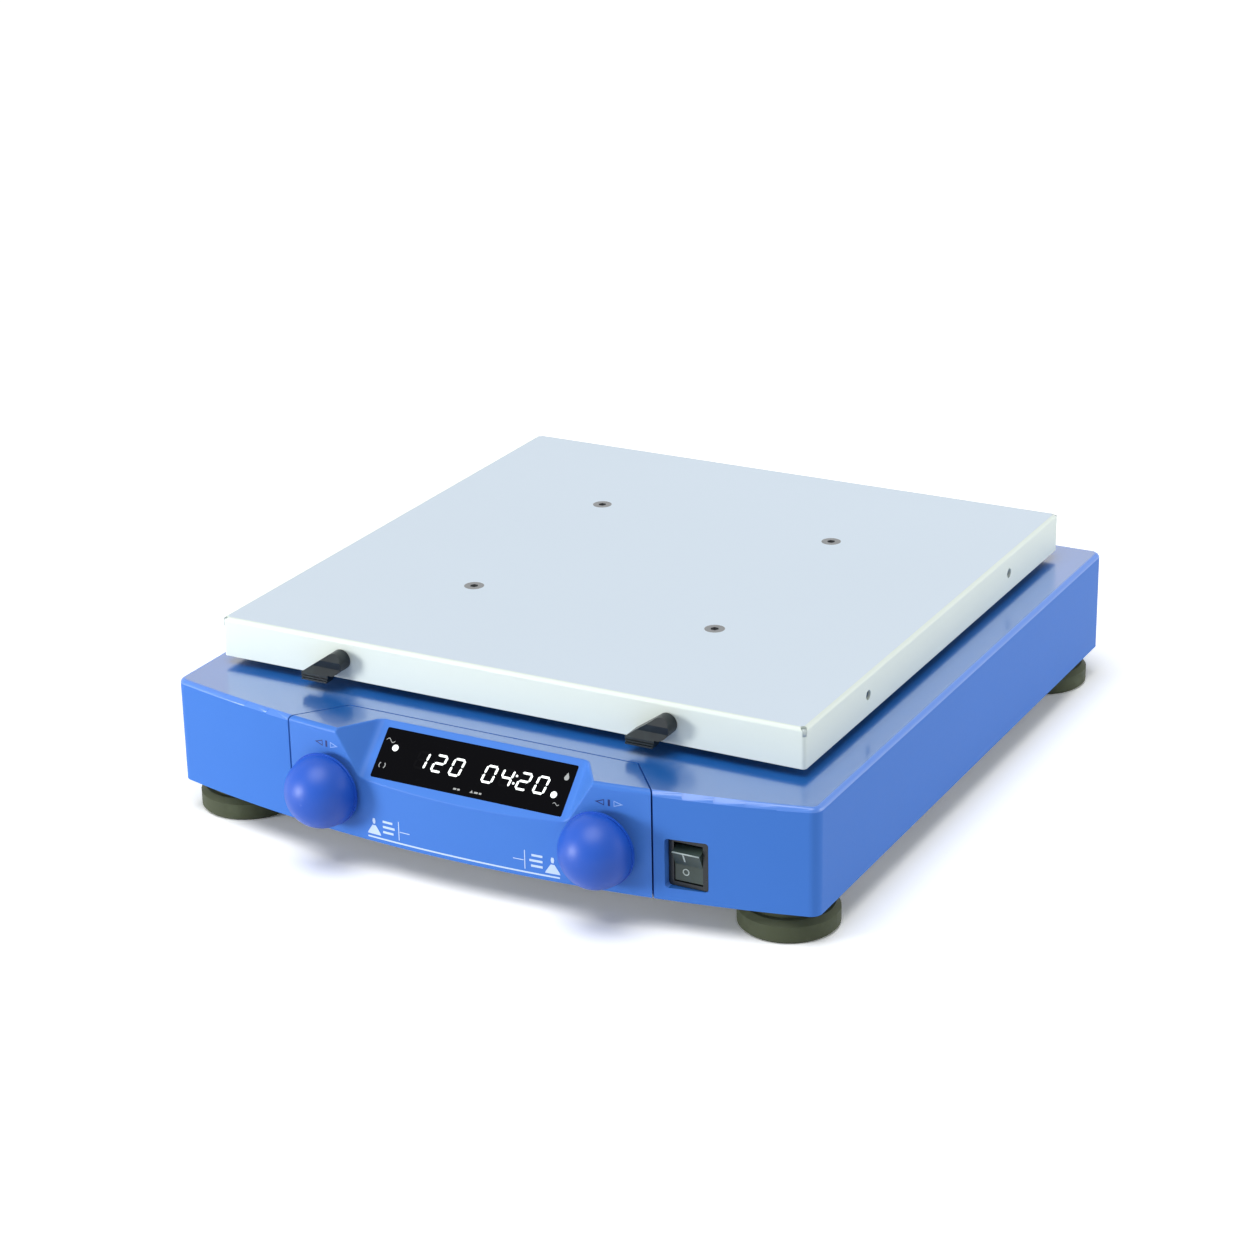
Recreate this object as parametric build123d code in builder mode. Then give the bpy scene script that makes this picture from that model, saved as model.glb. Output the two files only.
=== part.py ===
from build123d import *
import math
import os

# Orbital shaker for a laboratory bench.
# Millimetres. +X runs along the front to the right, -Y is the operator's side, +Z is up.
# Z = 0 is the bench top under the rubber feet.

os.makedirs("parts", exist_ok=True)

# Housing shell
housing_width = 360.0
side_front_y = -167.0
rear_y = 210.0
front_bow = 23.0
housing_bottom_z = 17.0
housing_top_z = 72.5
wall = 3.0
corner_radius = 6.0
top_round = 2.5
hub_opening_radius = 17.0
pin_opening_radius = 15.0
dust_rim = 2.0
base_thickness = 2.5
cooling_x = 60.0
cooling_inset = 25.0
cooling_pitch = 9.0
cooling_length = 26.0
cooling_width = 4.0
fit_gap = 0.3
cover_boss_inset = 9.0
cover_boss_ys = (-112.0, 21.5, 150.0)
cover_boss_radius = 6.4
panel_boss_y = -173.3
panel_boss_inset = 6.1
panel_boss_radius = 4.0
boss_bore_radius = 2.1
boss_bore_depth = 16.0
base_top_z = housing_bottom_z + base_thickness
ceiling_z = housing_top_z - wall
front_radius = (housing_width**2 / 4 + front_bow**2) / (2 * front_bow)


def front_y(x):
    # y of the bowed front face at a place across the width
    return side_front_y - front_bow + front_radius - math.sqrt(front_radius**2 - x**2)


# Control panel insert, a trapezoid in plan, with the sloped display facet
seam_gap = 0.8
panel_front_half = 101.0
panel_rear_half = 81.0
panel_rear_y = -158.0
panel_side_depth = 24.6
panel_skin = 2.6
cable_gap_side = 6.0
cable_gap_height = 43.0
facet_depth = 25.0
facet_flare = 15.0
facet_flare_height = 15.7
facet_round = 6.0
facet_edge_round = 1.2
facet_wall = 3.0
facet_level = housing_top_z - side_front_y + front_bow - facet_depth


# Rotary push knobs
knob_seam_distance = 14.0
knob_z = 41.0
knob_radius = 19.2
knob_front_gap = 4.15
knob_length = 21.5
knob_x = (panel_front_half + panel_rear_half) / 2 - knob_seam_distance
knob_back_y = front_y(knob_x) - knob_front_gap
knob_front_y = knob_back_y - knob_length
knob_rim = 1.3
knob_skin = 2.2
knob_hub_radius = 5.5
shaft_radius = 3.0
running_clearance = 0.05
bush_radius = 4.5
encoder_width = 12.0
encoder_height = 13.2
encoder_depth = 7.0
encoder_nut_radius = 6.4
encoder_nut_height = 2.2
pad_radius = 13.0
pad_depth = 7.35
nut_sink = 1.25
nut_seat_radius = 8.0
bush_reach = 2.75
knob_hub_inset = 0.6
shaft_tail = 4.5
shaft_grip = 12.0
pad_back_y = front_y(knob_x) + pad_depth
nut_seat_y = front_y(knob_x) + nut_sink
bush_front_y = front_y(knob_x) - bush_reach
knob_hub_y = knob_back_y - knob_hub_inset
shaft_back_y = pad_back_y + shaft_tail
knob_push = 1.0
shaft_fit = 0.04

# Display between the knobs
facet_knob_overlap = 0.2
glass_side_margin = 4.5
glass_width = 26.6
glass_thickness = 1.6
glass_x = 1.0
glass_gap = 0.1
glass_ledge = 2.5
glass_drop = 16.9
facet_half = knob_x - knob_radius + facet_knob_overlap
glass_length = 2 * (facet_half - glass_side_margin)
display_board_margin = 2.5
display_board_width = 25.0
display_board_depth = 8.0
display_board_thickness = 1.6
display_post_radius = 1.8
display_post_rise = 9.0
digit_height = 14.0
speed_digits_length = 36.0
time_digits_length = 46.0
digit_gap = 2.5
led_radius = 1.5
led_inset = 7.75
led_rise = 3.4

# Rocker switch
switch_seam_distance = 6.7
switch_z = 36.3
switch_width = 20.6
switch_height = 24.8
switch_sink = 0.4
switch_pad_depth = 9.5
switch_body_depth = 16.5
switch_x = panel_front_half + switch_seam_distance + switch_width / 2
switch_face_y = front_y(switch_x + switch_width / 2) + switch_sink
switch_pad_back_y = switch_face_y + switch_pad_depth
switch_back_y = switch_pad_back_y + switch_body_depth
rocker_pivot_y = switch_face_y + 6.5
rocker_tilt = 13.0
rocker_width = 14.6
rocker_height = 20.0
rocker_pivot_radius = 1.5

# Drive: crank axis, orbit and pulleys
axis_y = 26.0
orbit_radius = 5.0
idler_pitch = 108.0
motor_y = 136.0
bearing_outer = 14.0
bearing_bore = 6.0
bearing_width = 8.0
counterweight_outer = 48.0
counterweight_rim_gap = 2.0
pulley_rim = 5.0
drive_ratio = 4.0
pulley_running_radius = counterweight_outer + counterweight_rim_gap + pulley_rim
motor_pulley_running_radius = pulley_running_radius / drive_ratio
belt_clearance = 0.3
belt_thickness = 2.0
belt_bottom_z = 51.5
belt_width = 7.0
pulley_bottom_z = 50.2
pulley_height = 9.6
flange_lip = 2.6

# Table
platform_size = 330.0
platform_top_z = 98.0
platform_skirt = 21.0
platform_sheet = 1.5
platform_screw_half = 70.5
side_hole_half = 92.5
side_hole_radius = 2.6
carrier_bottom_z = 86.0
carrier_top_z = 92.0
arm_width = 34.0
platform_x = -orbit_radius
platform_y = axis_y
plate_under_z = platform_top_z - platform_sheet
skirt_bottom_z = platform_top_z - platform_skirt
skirt_front_y = platform_y - platform_size / 2
skirt_rear_y = platform_y + platform_size / 2
side_hole_z = platform_top_z - platform_skirt / 2

# Feet
foot_radius = 25.0
foot_inset_side = 25.2
foot_inset_front = 21.5
foot_inset_rear = 23.5
foot_neck_radius = 20.0
foot_disc_height = 11.5
foot_recess_radius = 6.0
foot_recess_depth = 8.0
foot_screw_radius = 2.5
foot_screw_head = 4.8
foot_screw_head_height = 3.0
foot_nut_size = 4.6
foot_nut_height = 4.0
foot_x = housing_width / 2 - foot_inset_side
foot_front_y = side_front_y + foot_inset_front
foot_rear_y = rear_y - foot_inset_rear

# Mains inlet in the rear wall
inlet_side_distance = 50.0
inlet_z = 45.0
inlet_x = inlet_side_distance - housing_width / 2
inlet_width = 27.0
inlet_height = 19.8
inlet_flange_width = 31.0
inlet_flange_height = 24.0
inlet_flange_thickness = 1.5
inlet_depth = 22.0

# Fasteners
base_screw_radius = 1.95
base_screw_head = 3.9
base_screw_head_height = 1.9
base_screw_length = 12.0
screw_radius = 1.95
screw_hole_radius = 2.2
screw_tap_radius = 2.0
screw_head_radius = 3.6
screw_head_height = 2.2
screw_length = 6.8
mount_flange = 5.0
platform_screw_radius = 2.9
platform_screw_head = 5.25
platform_head_depth = 2.7

# Bearings, crank and pulley details
bearing_land = 8.5
bearing_wall = 6.0
bearing_shoulder = 1.6
flange_edge = 8.0
lower_bearing_z = 26.0
upper_bearing_z = 39.5
pin_bearing_z = 78.0
crank_flange_z = 49.0
crank_flange_thickness = 4.0
crank_screw_radius = 18.5
crank_flange_edge = 5.5
housing_screw_radius = 32.0
web_thickness = 3.0
pulley_lip = 1.0
web_bore_radius = 14.0
web_hole_circle = 36.0
web_hole_radius = 7.5
counterweight_inner = 23.5
counterweight_screw_inset = 10.0
counterweight_half_angle = 60.0
counterweight_screw_angle = 30.0
counterweight_height = 10.0
counterweight_seat = 4.0

# Motor
motor_radius = 30.0
motor_bottom_z = 20.5
motor_top_z = 42.0
motor_rotor_radius = 18.0
motor_screw_radius = 20.0
bracket_reach = 9.0
bracket_depth = 50.0
bracket_opening = 12.0
bracket_leg = 5.0
bracket_leg_depth = 42.0
bracket_foot = 22.0

# Idlers
idler_pin_radius = 5.0
idler_web_radius = 15.5
idler_web_height = 6.0
idler_boss_radius = 7.0
pin_end_chamfer = 0.8
bush_outer = 7.5
bush_length = 18.0
bush_flange = 1.5
bush_flange_radius = 9.5
post_top_z = 44.0
post_flange_radius = 19.0
post_screw_radius = 14.6
upper_bush_z = 78.0
rib_height = 5.0
hub_bottom_z = 76.5

# Clamp levers
hub_radius = 5.3
wing_reach = 17.1
wing_drop = 9.6
wing_thickness = 4.0
lever_reach = 11.3
groove_depth = 0.7
groove_height = 0.8
lever_hole_radius = 2.2
lever_bolt_radius = 2.0
lever_neck_radius = 3.0
lever_neck_length = 3.0
lever_head_radius = 3.6
lever_head_height = 2.4
lever_head_clearance = 0.15
lever_nut_size = 4.0
lever_nut_height = 3.2

# Boards
board_z = 27.0
board_thickness = 1.6
control_board_y = -98.0
control_board_length = 136.0
control_board_width = 56.0
power_board_x = -66.0
power_board_y = 141.0
power_board_width = 40.0
power_board_length = 96.0
pillar_radius = 3.0
pillar_inset = 4.0
processor_size = 18.0
driver_pitch = 9.0
driver_width = 5.0
driver_length = 9.0
driver_height = 2.4
plug_length = 16.0
plug_width = 7.0
control_capacitor_radius = 5.0
control_capacitor_height = 14.0
capacitor_gap = 4.0
transformer_length = 28.0
transformer_width = 24.0
transformer_height = 22.0
transformer_inset = 22.0
power_capacitor_radius = 7.0
power_capacitor_height = 25.0
power_capacitor_gap = 3.0
power_capacitor_offset = 6.0
connector_length = 20.0
connector_width = 12.0
connector_inset = 16.0

foot_points = [(x, y) for y in (foot_front_y, foot_rear_y) for x in (foot_x, -foot_x)]
idler_points = [
    (-idler_pitch, axis_y - idler_pitch),
    (idler_pitch, axis_y - idler_pitch),
    (-idler_pitch, axis_y + idler_pitch),
    (idler_pitch, axis_y + idler_pitch),
]
pin_points = [(x - orbit_radius, y) for x, y in idler_points]
cover_boss_x = housing_width / 2 - cover_boss_inset
cover_boss_points = [(x, y) for x in (-cover_boss_x, cover_boss_x) for y in cover_boss_ys]
panel_taper = (panel_front_half - panel_rear_half) / panel_side_depth
panel_boss_x = panel_rear_half + panel_taper * (panel_rear_y - panel_boss_y) - panel_boss_inset
panel_boss_points = [(-panel_boss_x, panel_boss_y), (panel_boss_x, panel_boss_y)]
post_screw_points = [
    (x + post_screw_radius * math.cos(math.radians(a)), y + post_screw_radius * math.sin(math.radians(a)))
    for x, y in idler_points
    for a in (90, 210, 330)
]
bracket_screw_points = [
    (i * (motor_radius + 14.5), motor_y + j * 14.0)
    for i in (-1, 1)
    for j in (-1, 1)
]
board_pillar_points = [
    (
        i * (control_board_length / 2 - pillar_inset),
        control_board_y + j * (control_board_width / 2 - pillar_inset),
    )
    for i in (-1, 1)
    for j in (-1, 1)
] + [
    (
        power_board_x + i * (power_board_width / 2 - pillar_inset),
        power_board_y + j * (power_board_length / 2 - pillar_inset),
    )
    for i in (-1, 1)
    for j in (-1, 1)
]
idler_names = ["front_left", "front_right", "rear_left", "rear_right"]
platform_screw_points = [
    (platform_x + i * platform_screw_half, platform_y + j * platform_screw_half)
    for i in (-1, 1)
    for j in (-1, 1)
]


def body_outline(inset):
    # plan of the housing, bowed at the front, drawn in by inset all round
    with BuildSketch() as plan:
        half = housing_width / 2
        with BuildLine():
            bow_y = side_front_y - front_bow
            front = ThreePointArc((-half, side_front_y), (0, bow_y), (half, side_front_y))
            Polyline(front @ 1, (half, rear_y), (-half, rear_y), front @ 0)
        make_face()
        fillet(plan.vertices(), radius=corner_radius)
        if inset > 0:
            offset(amount=-inset, kind=Kind.INTERSECTION, mode=Mode.REPLACE)
    return plan.sketch


def panel_outline(grow):
    # plan of the control panel insert, larger by grow at the sides and the rear
    slant = math.hypot(panel_taper, 1)
    far_y = side_front_y - front_bow - 20
    with BuildSketch() as plan:
        side = panel_front_half + grow * slant
        rear = panel_rear_half + grow * slant - grow * panel_taper
        front_seam_y = panel_rear_y - panel_side_depth
        with BuildLine():
            Polyline(
                (-side, far_y),
                (-side, front_seam_y),
                (-rear, panel_rear_y + grow),
                (rear, panel_rear_y + grow),
                (side, front_seam_y),
                (side, far_y),
                close=True,
            )
        make_face()
    return plan.sketch


def facet_cutter(deeper):
    # prism that leaves the sloped display facet, its sides flaring outwards
    start_y = panel_rear_y + 60
    start = Plane(origin=(0, start_y, facet_level + start_y), x_dir=(1, 0, 0), z_dir=(0, -1, -1))
    reach = 60.0
    top_half = facet_half + facet_flare * reach / facet_flare_height
    flare_shift = deeper * 1.36
    with BuildPart() as cutter:
        with BuildSketch(start) as section:
            with BuildLine():
                Polyline(
                    (-top_half - flare_shift, reach - deeper),
                    (-facet_half - flare_shift * 0.3, -deeper),
                    (facet_half + flare_shift * 0.3, -deeper),
                    (top_half + flare_shift, reach - deeper),
                    close=True,
                )
            make_face()
            low = section.vertices().sort_by(Axis.Y)[:2]
            fillet(low, radius=facet_round)
        extrude(amount=260)
    return cutter.part


with BuildPart() as switch_pad:
    with BuildSketch(Plane.XZ.offset(-switch_pad_back_y)):
        with Locations((switch_x, switch_z)):
            RectangleRounded(switch_width + 7, switch_height + 5, 2.0)
            RectangleRounded(
                switch_width + 2 * fit_gap, switch_height + 2 * fit_gap, 1.6, mode=Mode.SUBTRACT
            )
    extrude(amount=20)
    with BuildSketch(Plane.XY.offset(housing_bottom_z)):
        add(body_outline(0.8))
    extrude(amount=housing_top_z, mode=Mode.INTERSECT)

with BuildPart() as housing_cover:
    with BuildSketch(Plane.XY.offset(housing_bottom_z)):
        add(body_outline(0))
    extrude(amount=housing_top_z - housing_bottom_z)
    fillet(housing_cover.faces().sort_by(Axis.Z)[-1].edges(), radius=top_round)
    with BuildSketch(Plane.XY.offset(housing_bottom_z)):
        add(body_outline(wall))
    extrude(amount=ceiling_z - housing_bottom_z, mode=Mode.SUBTRACT)
    # screw bosses on the side walls
    with BuildSketch(Plane.XY.offset(base_top_z)):
        with Locations(*cover_boss_points):
            Circle(cover_boss_radius)
    extrude(amount=ceiling_z - base_top_z + 0.5)
    with BuildSketch(Plane.XY.offset(base_top_z)):
        with Locations(*cover_boss_points):
            Circle(boss_bore_radius)
    extrude(amount=boss_bore_depth, mode=Mode.SUBTRACT)
    # opening for the control panel insert
    with BuildSketch(Plane.XY.offset(housing_bottom_z - 1)):
        add(panel_outline(seam_gap))
    extrude(amount=housing_top_z, mode=Mode.SUBTRACT)
    # crank pins pass through the top
    with BuildSketch(Plane.XY.offset(ceiling_z - 1)):
        with Locations((0, axis_y)):
            Circle(hub_opening_radius)
        with Locations(*idler_points):
            Circle(pin_opening_radius)
    extrude(amount=wall + 2, mode=Mode.SUBTRACT)
    # raised dust rims round the pin openings
    with BuildSketch(Plane.XY.offset(housing_top_z - 0.5)):
        with Locations((0, axis_y)):
            Circle(hub_opening_radius + dust_rim)
            Circle(hub_opening_radius, mode=Mode.SUBTRACT)
    extrude(amount=1.5)
    with BuildSketch(Plane.XY.offset(housing_top_z - 0.5)):
        with Locations(*idler_points):
            Circle(pin_opening_radius + dust_rim)
            Circle(pin_opening_radius, mode=Mode.SUBTRACT)
    extrude(amount=1.5)
    # switch and mains inlet openings
    with BuildSketch(Plane.XZ.offset(130)):
        with Locations((switch_x, switch_z)):
            RectangleRounded(switch_width + 2 * fit_gap, switch_height + 2 * fit_gap, 1.6)
    extrude(amount=80, mode=Mode.SUBTRACT)
    with BuildSketch(Plane.XZ.offset(-rear_y - 1)):
        with Locations((inlet_x, inlet_z)):
            RectangleRounded(inlet_width + 0.4, inlet_height + 0.4, 2.0)
    extrude(amount=wall + 2, mode=Mode.SUBTRACT)
    # flat pad behind the switch opening
    add(switch_pad.part)
housing_cover.part.label = "housing_cover"
export_step(housing_cover.part, "parts/housing_cover.step")

with BuildPart() as base_plate:
    with BuildSketch(Plane.XY.offset(housing_bottom_z)):
        add(body_outline(wall + fit_gap))
    extrude(amount=base_thickness)
    with BuildSketch(Plane.XY.offset(housing_bottom_z)):
        with Locations(*foot_points):
            Circle(foot_screw_radius + 0.2)
        with Locations(*cover_boss_points, *panel_boss_points):
            Circle(base_screw_radius + 0.35)
        with Locations(*post_screw_points, *bracket_screw_points):
            Circle(screw_tap_radius)
        with Locations((0, axis_y)):
            with PolarLocations(housing_screw_radius, 4, start_angle=45):
                Circle(screw_tap_radius)
    extrude(amount=base_thickness, mode=Mode.SUBTRACT)
    with Locations(*[Location((x, y, housing_bottom_z)) for x, y in cover_boss_points + panel_boss_points]):
        Cone(
            base_screw_head + 0.2,
            base_screw_radius + 0.35,
            base_screw_head_height - 0.1,
            align=(Align.CENTER, Align.CENTER, Align.MIN),
            mode=Mode.SUBTRACT,
        )
    # cooling slots at the rear
    with BuildSketch(Plane.XY.offset(housing_bottom_z)):
        with Locations((cooling_x, rear_y - cooling_inset)):
            with GridLocations(cooling_pitch, 0, 6, 1):
                SlotOverall(cooling_length, cooling_width, rotation=90)
    extrude(amount=base_thickness, mode=Mode.SUBTRACT)
base_plate.part.label = "base_plate"
export_step(base_plate.part, "parts/base_plate.step")

led_points = [
    (glass_x + side * (glass_length / 2 - led_inset), -glass_drop - side * led_rise)
    for side in (-1, 1)
]
display_post_points = [
    (glass_x + i * glass_length / 2, -glass_drop + j * display_post_rise)
    for i in (-1, 1)
    for j in (-1, 1)
]
encoder_points = [(-knob_x, knob_z), (knob_x, knob_z)]
facet_plane = Plane(
    origin=(0, housing_top_z - facet_level, housing_top_z), x_dir=(1, 0, 0), z_dir=(0, -1, 1)
)
display_board_top = -display_board_depth

with BuildPart() as panel_void:
    with BuildSketch(Plane.XY.offset(housing_bottom_z - 1)):
        add(body_outline(panel_skin))
        add(panel_outline(-2.4), mode=Mode.INTERSECT)
    extrude(amount=ceiling_z - housing_bottom_z + 1.4)
    add(facet_cutter(facet_wall), mode=Mode.SUBTRACT)

with BuildPart() as control_panel:
    with BuildSketch(Plane.XY.offset(housing_bottom_z)):
        add(body_outline(0))
        add(panel_outline(0), mode=Mode.INTERSECT)
    extrude(amount=housing_top_z - housing_bottom_z)
    front_edges = control_panel.edges().group_by(Axis.Z)[-1].filter_by(GeomType.CIRCLE)
    fillet(front_edges, radius=top_round)
    add(facet_cutter(0), mode=Mode.SUBTRACT)
    # the fold above the facet is rounded, and the round runs on all along the rim
    fold = control_panel.edges().filter_by(Axis.X).group_by(Axis.Z)[-1].sort_by(Axis.Y)[0]
    fillet(fold, radius=facet_edge_round)
    add(panel_void.part, mode=Mode.SUBTRACT)
    # the rear wall of the insert is open below, for the cables
    with BuildSketch(Plane.XY.offset(housing_bottom_z - 1)):
        with Locations((0, panel_rear_y)):
            Rectangle(2 * (panel_rear_half - cable_gap_side), 12)
    extrude(amount=cable_gap_height, mode=Mode.SUBTRACT)
    # the side walls stand on the base plate
    with BuildSketch(Plane.XY.offset(housing_bottom_z)):
        add(body_outline(wall))
    extrude(amount=base_thickness, mode=Mode.SUBTRACT)
    # flat pads for the encoders, with a spot face under each nut
    with BuildSketch(Plane.XZ.offset(-pad_back_y)):
        with Locations(*encoder_points):
            Circle(pad_radius)
    extrude(amount=5.5)
    with BuildSketch(Plane.XZ.offset(-nut_seat_y)):
        with Locations(*encoder_points):
            Circle(nut_seat_radius)
    extrude(amount=10, mode=Mode.SUBTRACT)
    # screw bosses
    with BuildSketch(Plane.XY.offset(base_top_z)):
        with Locations(*panel_boss_points):
            Circle(panel_boss_radius)
    extrude(amount=ceiling_z - base_top_z + 0.5)
    with BuildSketch(Plane.XY.offset(base_top_z)):
        with Locations(*panel_boss_points):
            Circle(boss_bore_radius)
    extrude(amount=boss_bore_depth, mode=Mode.SUBTRACT)
    with BuildSketch(Plane.XZ.offset(-pad_back_y - 6)):
        with Locations(*encoder_points):
            Circle(bush_radius + 0.15)
    extrude(amount=30, mode=Mode.SUBTRACT)
    # window opening with a ledge that carries the glass
    with BuildSketch(facet_plane.offset(-glass_thickness)):
        with Locations((glass_x, -glass_drop)):
            RectangleRounded(glass_length + 2 * glass_gap, glass_width + 2 * glass_gap, 1.0)
    extrude(amount=10, mode=Mode.SUBTRACT)
    with BuildSketch(facet_plane.offset(-10)):
        with Locations((glass_x, -glass_drop)):
            Rectangle(glass_length - 2 * glass_ledge, glass_width - 2 * glass_ledge)
    extrude(amount=12, mode=Mode.SUBTRACT)
    # posts for the display board
    with BuildSketch(facet_plane.offset(display_board_top)):
        with Locations(*display_post_points):
            Circle(display_post_radius)
    extrude(amount=-display_board_top - facet_wall + 0.6)
control_panel.part.label = "control_panel"
export_step(control_panel.part, "parts/control_panel.step")

with BuildPart() as display_window:
    with BuildSketch(facet_plane.offset(-glass_thickness)):
        with Locations((glass_x, -glass_drop)):
            RectangleRounded(glass_length, glass_width, 0.9)
    extrude(amount=glass_thickness)
display_window.part.label = "display_window"
export_step(display_window.part, "parts/display_window.step")

with BuildPart() as display_board:
    with BuildSketch(facet_plane.offset(display_board_top - display_board_thickness)):
        with Locations((glass_x, -glass_drop)):
            Rectangle(glass_length + 2 * display_board_margin, display_board_width)
    extrude(amount=display_board_thickness)
display_board.part.label = "display_board"
export_step(display_board.part, "parts/display_board.step")

with BuildPart() as digit_modules:
    with BuildSketch(facet_plane.offset(display_board_top)):
        with Locations((glass_x - speed_digits_length / 2, -glass_drop)):
            Rectangle(speed_digits_length, digit_height)
        with Locations((glass_x + digit_gap + time_digits_length / 2, -glass_drop)):
            Rectangle(time_digits_length, digit_height)
    extrude(amount=-display_board_top - glass_thickness - 0.4)
    with BuildSketch(facet_plane.offset(display_board_top)):
        with Locations(*led_points):
            Circle(led_radius)
    extrude(amount=-display_board_top - glass_thickness - 0.4)
digit_modules.part.label = "digit_modules"
export_step(digit_modules.part, "parts/digit_modules.step")

# Rotary push encoders behind the panel and their knobs
with BuildPart() as encoder_bodies:
    with BuildSketch(Plane.XZ.offset(-pad_back_y - encoder_depth)):
        with Locations(*encoder_points):
            Rectangle(encoder_width, encoder_height)
    extrude(amount=encoder_depth)
    with BuildSketch(Plane.XZ.offset(-pad_back_y)):
        with Locations(*encoder_points):
            Circle(bush_radius)
    extrude(amount=pad_back_y - bush_front_y)
    with BuildSketch(Plane.XZ.offset(-pad_back_y - encoder_depth)):
        with Locations(*encoder_points):
            Circle(shaft_radius + running_clearance)
    extrude(amount=encoder_depth + 20, mode=Mode.SUBTRACT)
encoder_bodies.part.label = "encoder_bodies"
export_step(encoder_bodies.part, "parts/encoder_bodies.step")

with BuildPart() as encoder_nuts:
    with BuildSketch(Plane.XZ.offset(-nut_seat_y)):
        with Locations(*encoder_points):
            RegularPolygon(encoder_nut_radius, 6)
            Circle(bush_radius + running_clearance, mode=Mode.SUBTRACT)
    extrude(amount=encoder_nut_height)
encoder_nuts.part.label = "encoder_nuts"
export_step(encoder_nuts.part, "parts/encoder_nuts.step")

eighth = math.sqrt(0.5)
for side, (kx, kz) in zip(("left", "right"), encoder_points):
    section = Plane(origin=(kx, 0, kz), x_dir=(1, 0, 0), z_dir=(0, 0, 1))
    turn_axis = Axis((kx, 0, kz), (0, 1, 0))
    dome_y = knob_back_y - knob_rim - 0.5
    dome_radius = knob_radius - 0.6
    dome_depth = dome_y - knob_front_y
    ball_radius = (dome_radius**2 + dome_depth**2) / (2 * dome_depth)
    ball_y = knob_front_y + ball_radius
    inner_ball = ball_radius - knob_skin
    inner_radius = math.sqrt(inner_ball**2 - (dome_y - ball_y) ** 2)
    with BuildPart() as knob:
        with BuildSketch(section):
            with BuildLine():
                dome = ThreePointArc(
                    (0, knob_front_y),
                    (ball_radius * eighth, ball_y - ball_radius * eighth),
                    (dome_radius, dome_y),
                )
                Polyline(
                    dome @ 1,
                    (knob_radius, dome_y),
                    (knob_radius, knob_back_y - 0.5),
                    (knob_radius - 0.5, knob_back_y),
                    (0, knob_back_y),
                    dome @ 0,
                )
            make_face()
        revolve(axis=turn_axis)
        with BuildSketch(section):
            with BuildLine():
                hollow = ThreePointArc(
                    (0, ball_y - inner_ball),
                    (inner_ball * eighth, ball_y - inner_ball * eighth),
                    (inner_radius, dome_y),
                )
                Polyline(hollow @ 1, (inner_radius, knob_back_y + 1), (0, knob_back_y + 1), hollow @ 0)
            make_face()
        revolve(axis=turn_axis, mode=Mode.SUBTRACT)
        with BuildSketch(Plane.XZ.offset(-knob_hub_y)):
            with Locations((kx, kz)):
                Circle(knob_hub_radius)
        extrude(amount=knob_hub_y - knob_front_y - knob_skin + 0.4)
        with BuildSketch(Plane.XZ.offset(-knob_hub_y)):
            with Locations((kx, kz)):
                Circle(shaft_radius + shaft_fit)
                with Locations((0, shaft_radius + 0.7 + shaft_fit)):
                    Rectangle(8, 2.4, mode=Mode.SUBTRACT)
        extrude(amount=shaft_grip + knob_push + fit_gap, mode=Mode.SUBTRACT)
    knob.part.label = "knob_" + side
    export_step(knob.part, "parts/knob_" + side + ".step")
    with BuildPart() as shaft:
        with BuildSketch(Plane.XZ.offset(-shaft_back_y)):
            with Locations((kx, kz)):
                Circle(shaft_radius)
        extrude(amount=shaft_back_y - knob_hub_y + shaft_grip)
        # flat that drives the knob
        with BuildSketch(Plane.XZ.offset(-knob_hub_y - knob_push - fit_gap)):
            with Locations((kx, kz + shaft_radius + 0.7)):
                Rectangle(8, 2.4)
        extrude(amount=shaft_grip + knob_push + 1, mode=Mode.SUBTRACT)
    shaft.part.label = "encoder_shaft_" + side
    export_step(shaft.part, "parts/encoder_shaft_" + side + ".step")

# Rocker switch
with BuildPart() as switch_body:
    with BuildSketch(Plane.XZ.offset(-switch_pad_back_y)):
        with Locations((switch_x, switch_z)):
            RectangleRounded(switch_width, switch_height, 1.3)
    extrude(amount=switch_pad_back_y - switch_face_y)
    with BuildSketch(Plane.XZ.offset(-switch_back_y)):
        with Locations((switch_x, switch_z)):
            Rectangle(switch_width - 1.4, switch_height - 2)
    extrude(amount=switch_back_y - switch_pad_back_y)
    with BuildSketch(Plane.XZ.offset(-switch_pad_back_y - fit_gap - 2.5)):
        with Locations((switch_x, switch_z)):
            Rectangle(switch_width + 4, 8)
    extrude(amount=2.5)
    with BuildSketch(Plane.XZ.offset(-switch_face_y - 15)):
        with Locations((switch_x, switch_z)):
            Rectangle(rocker_width + 2 * fit_gap, rocker_height + 2 * fit_gap)
    extrude(amount=16, mode=Mode.SUBTRACT)
    with BuildSketch(Plane.YZ.offset(switch_x - switch_width / 2 + 1)):
        with Locations((rocker_pivot_y, switch_z)):
            Circle(rocker_pivot_radius + running_clearance)
    extrude(amount=switch_width - 2, mode=Mode.SUBTRACT)
switch_body.part.label = "switch_body"
export_step(switch_body.part, "parts/switch_body.step")

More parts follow.
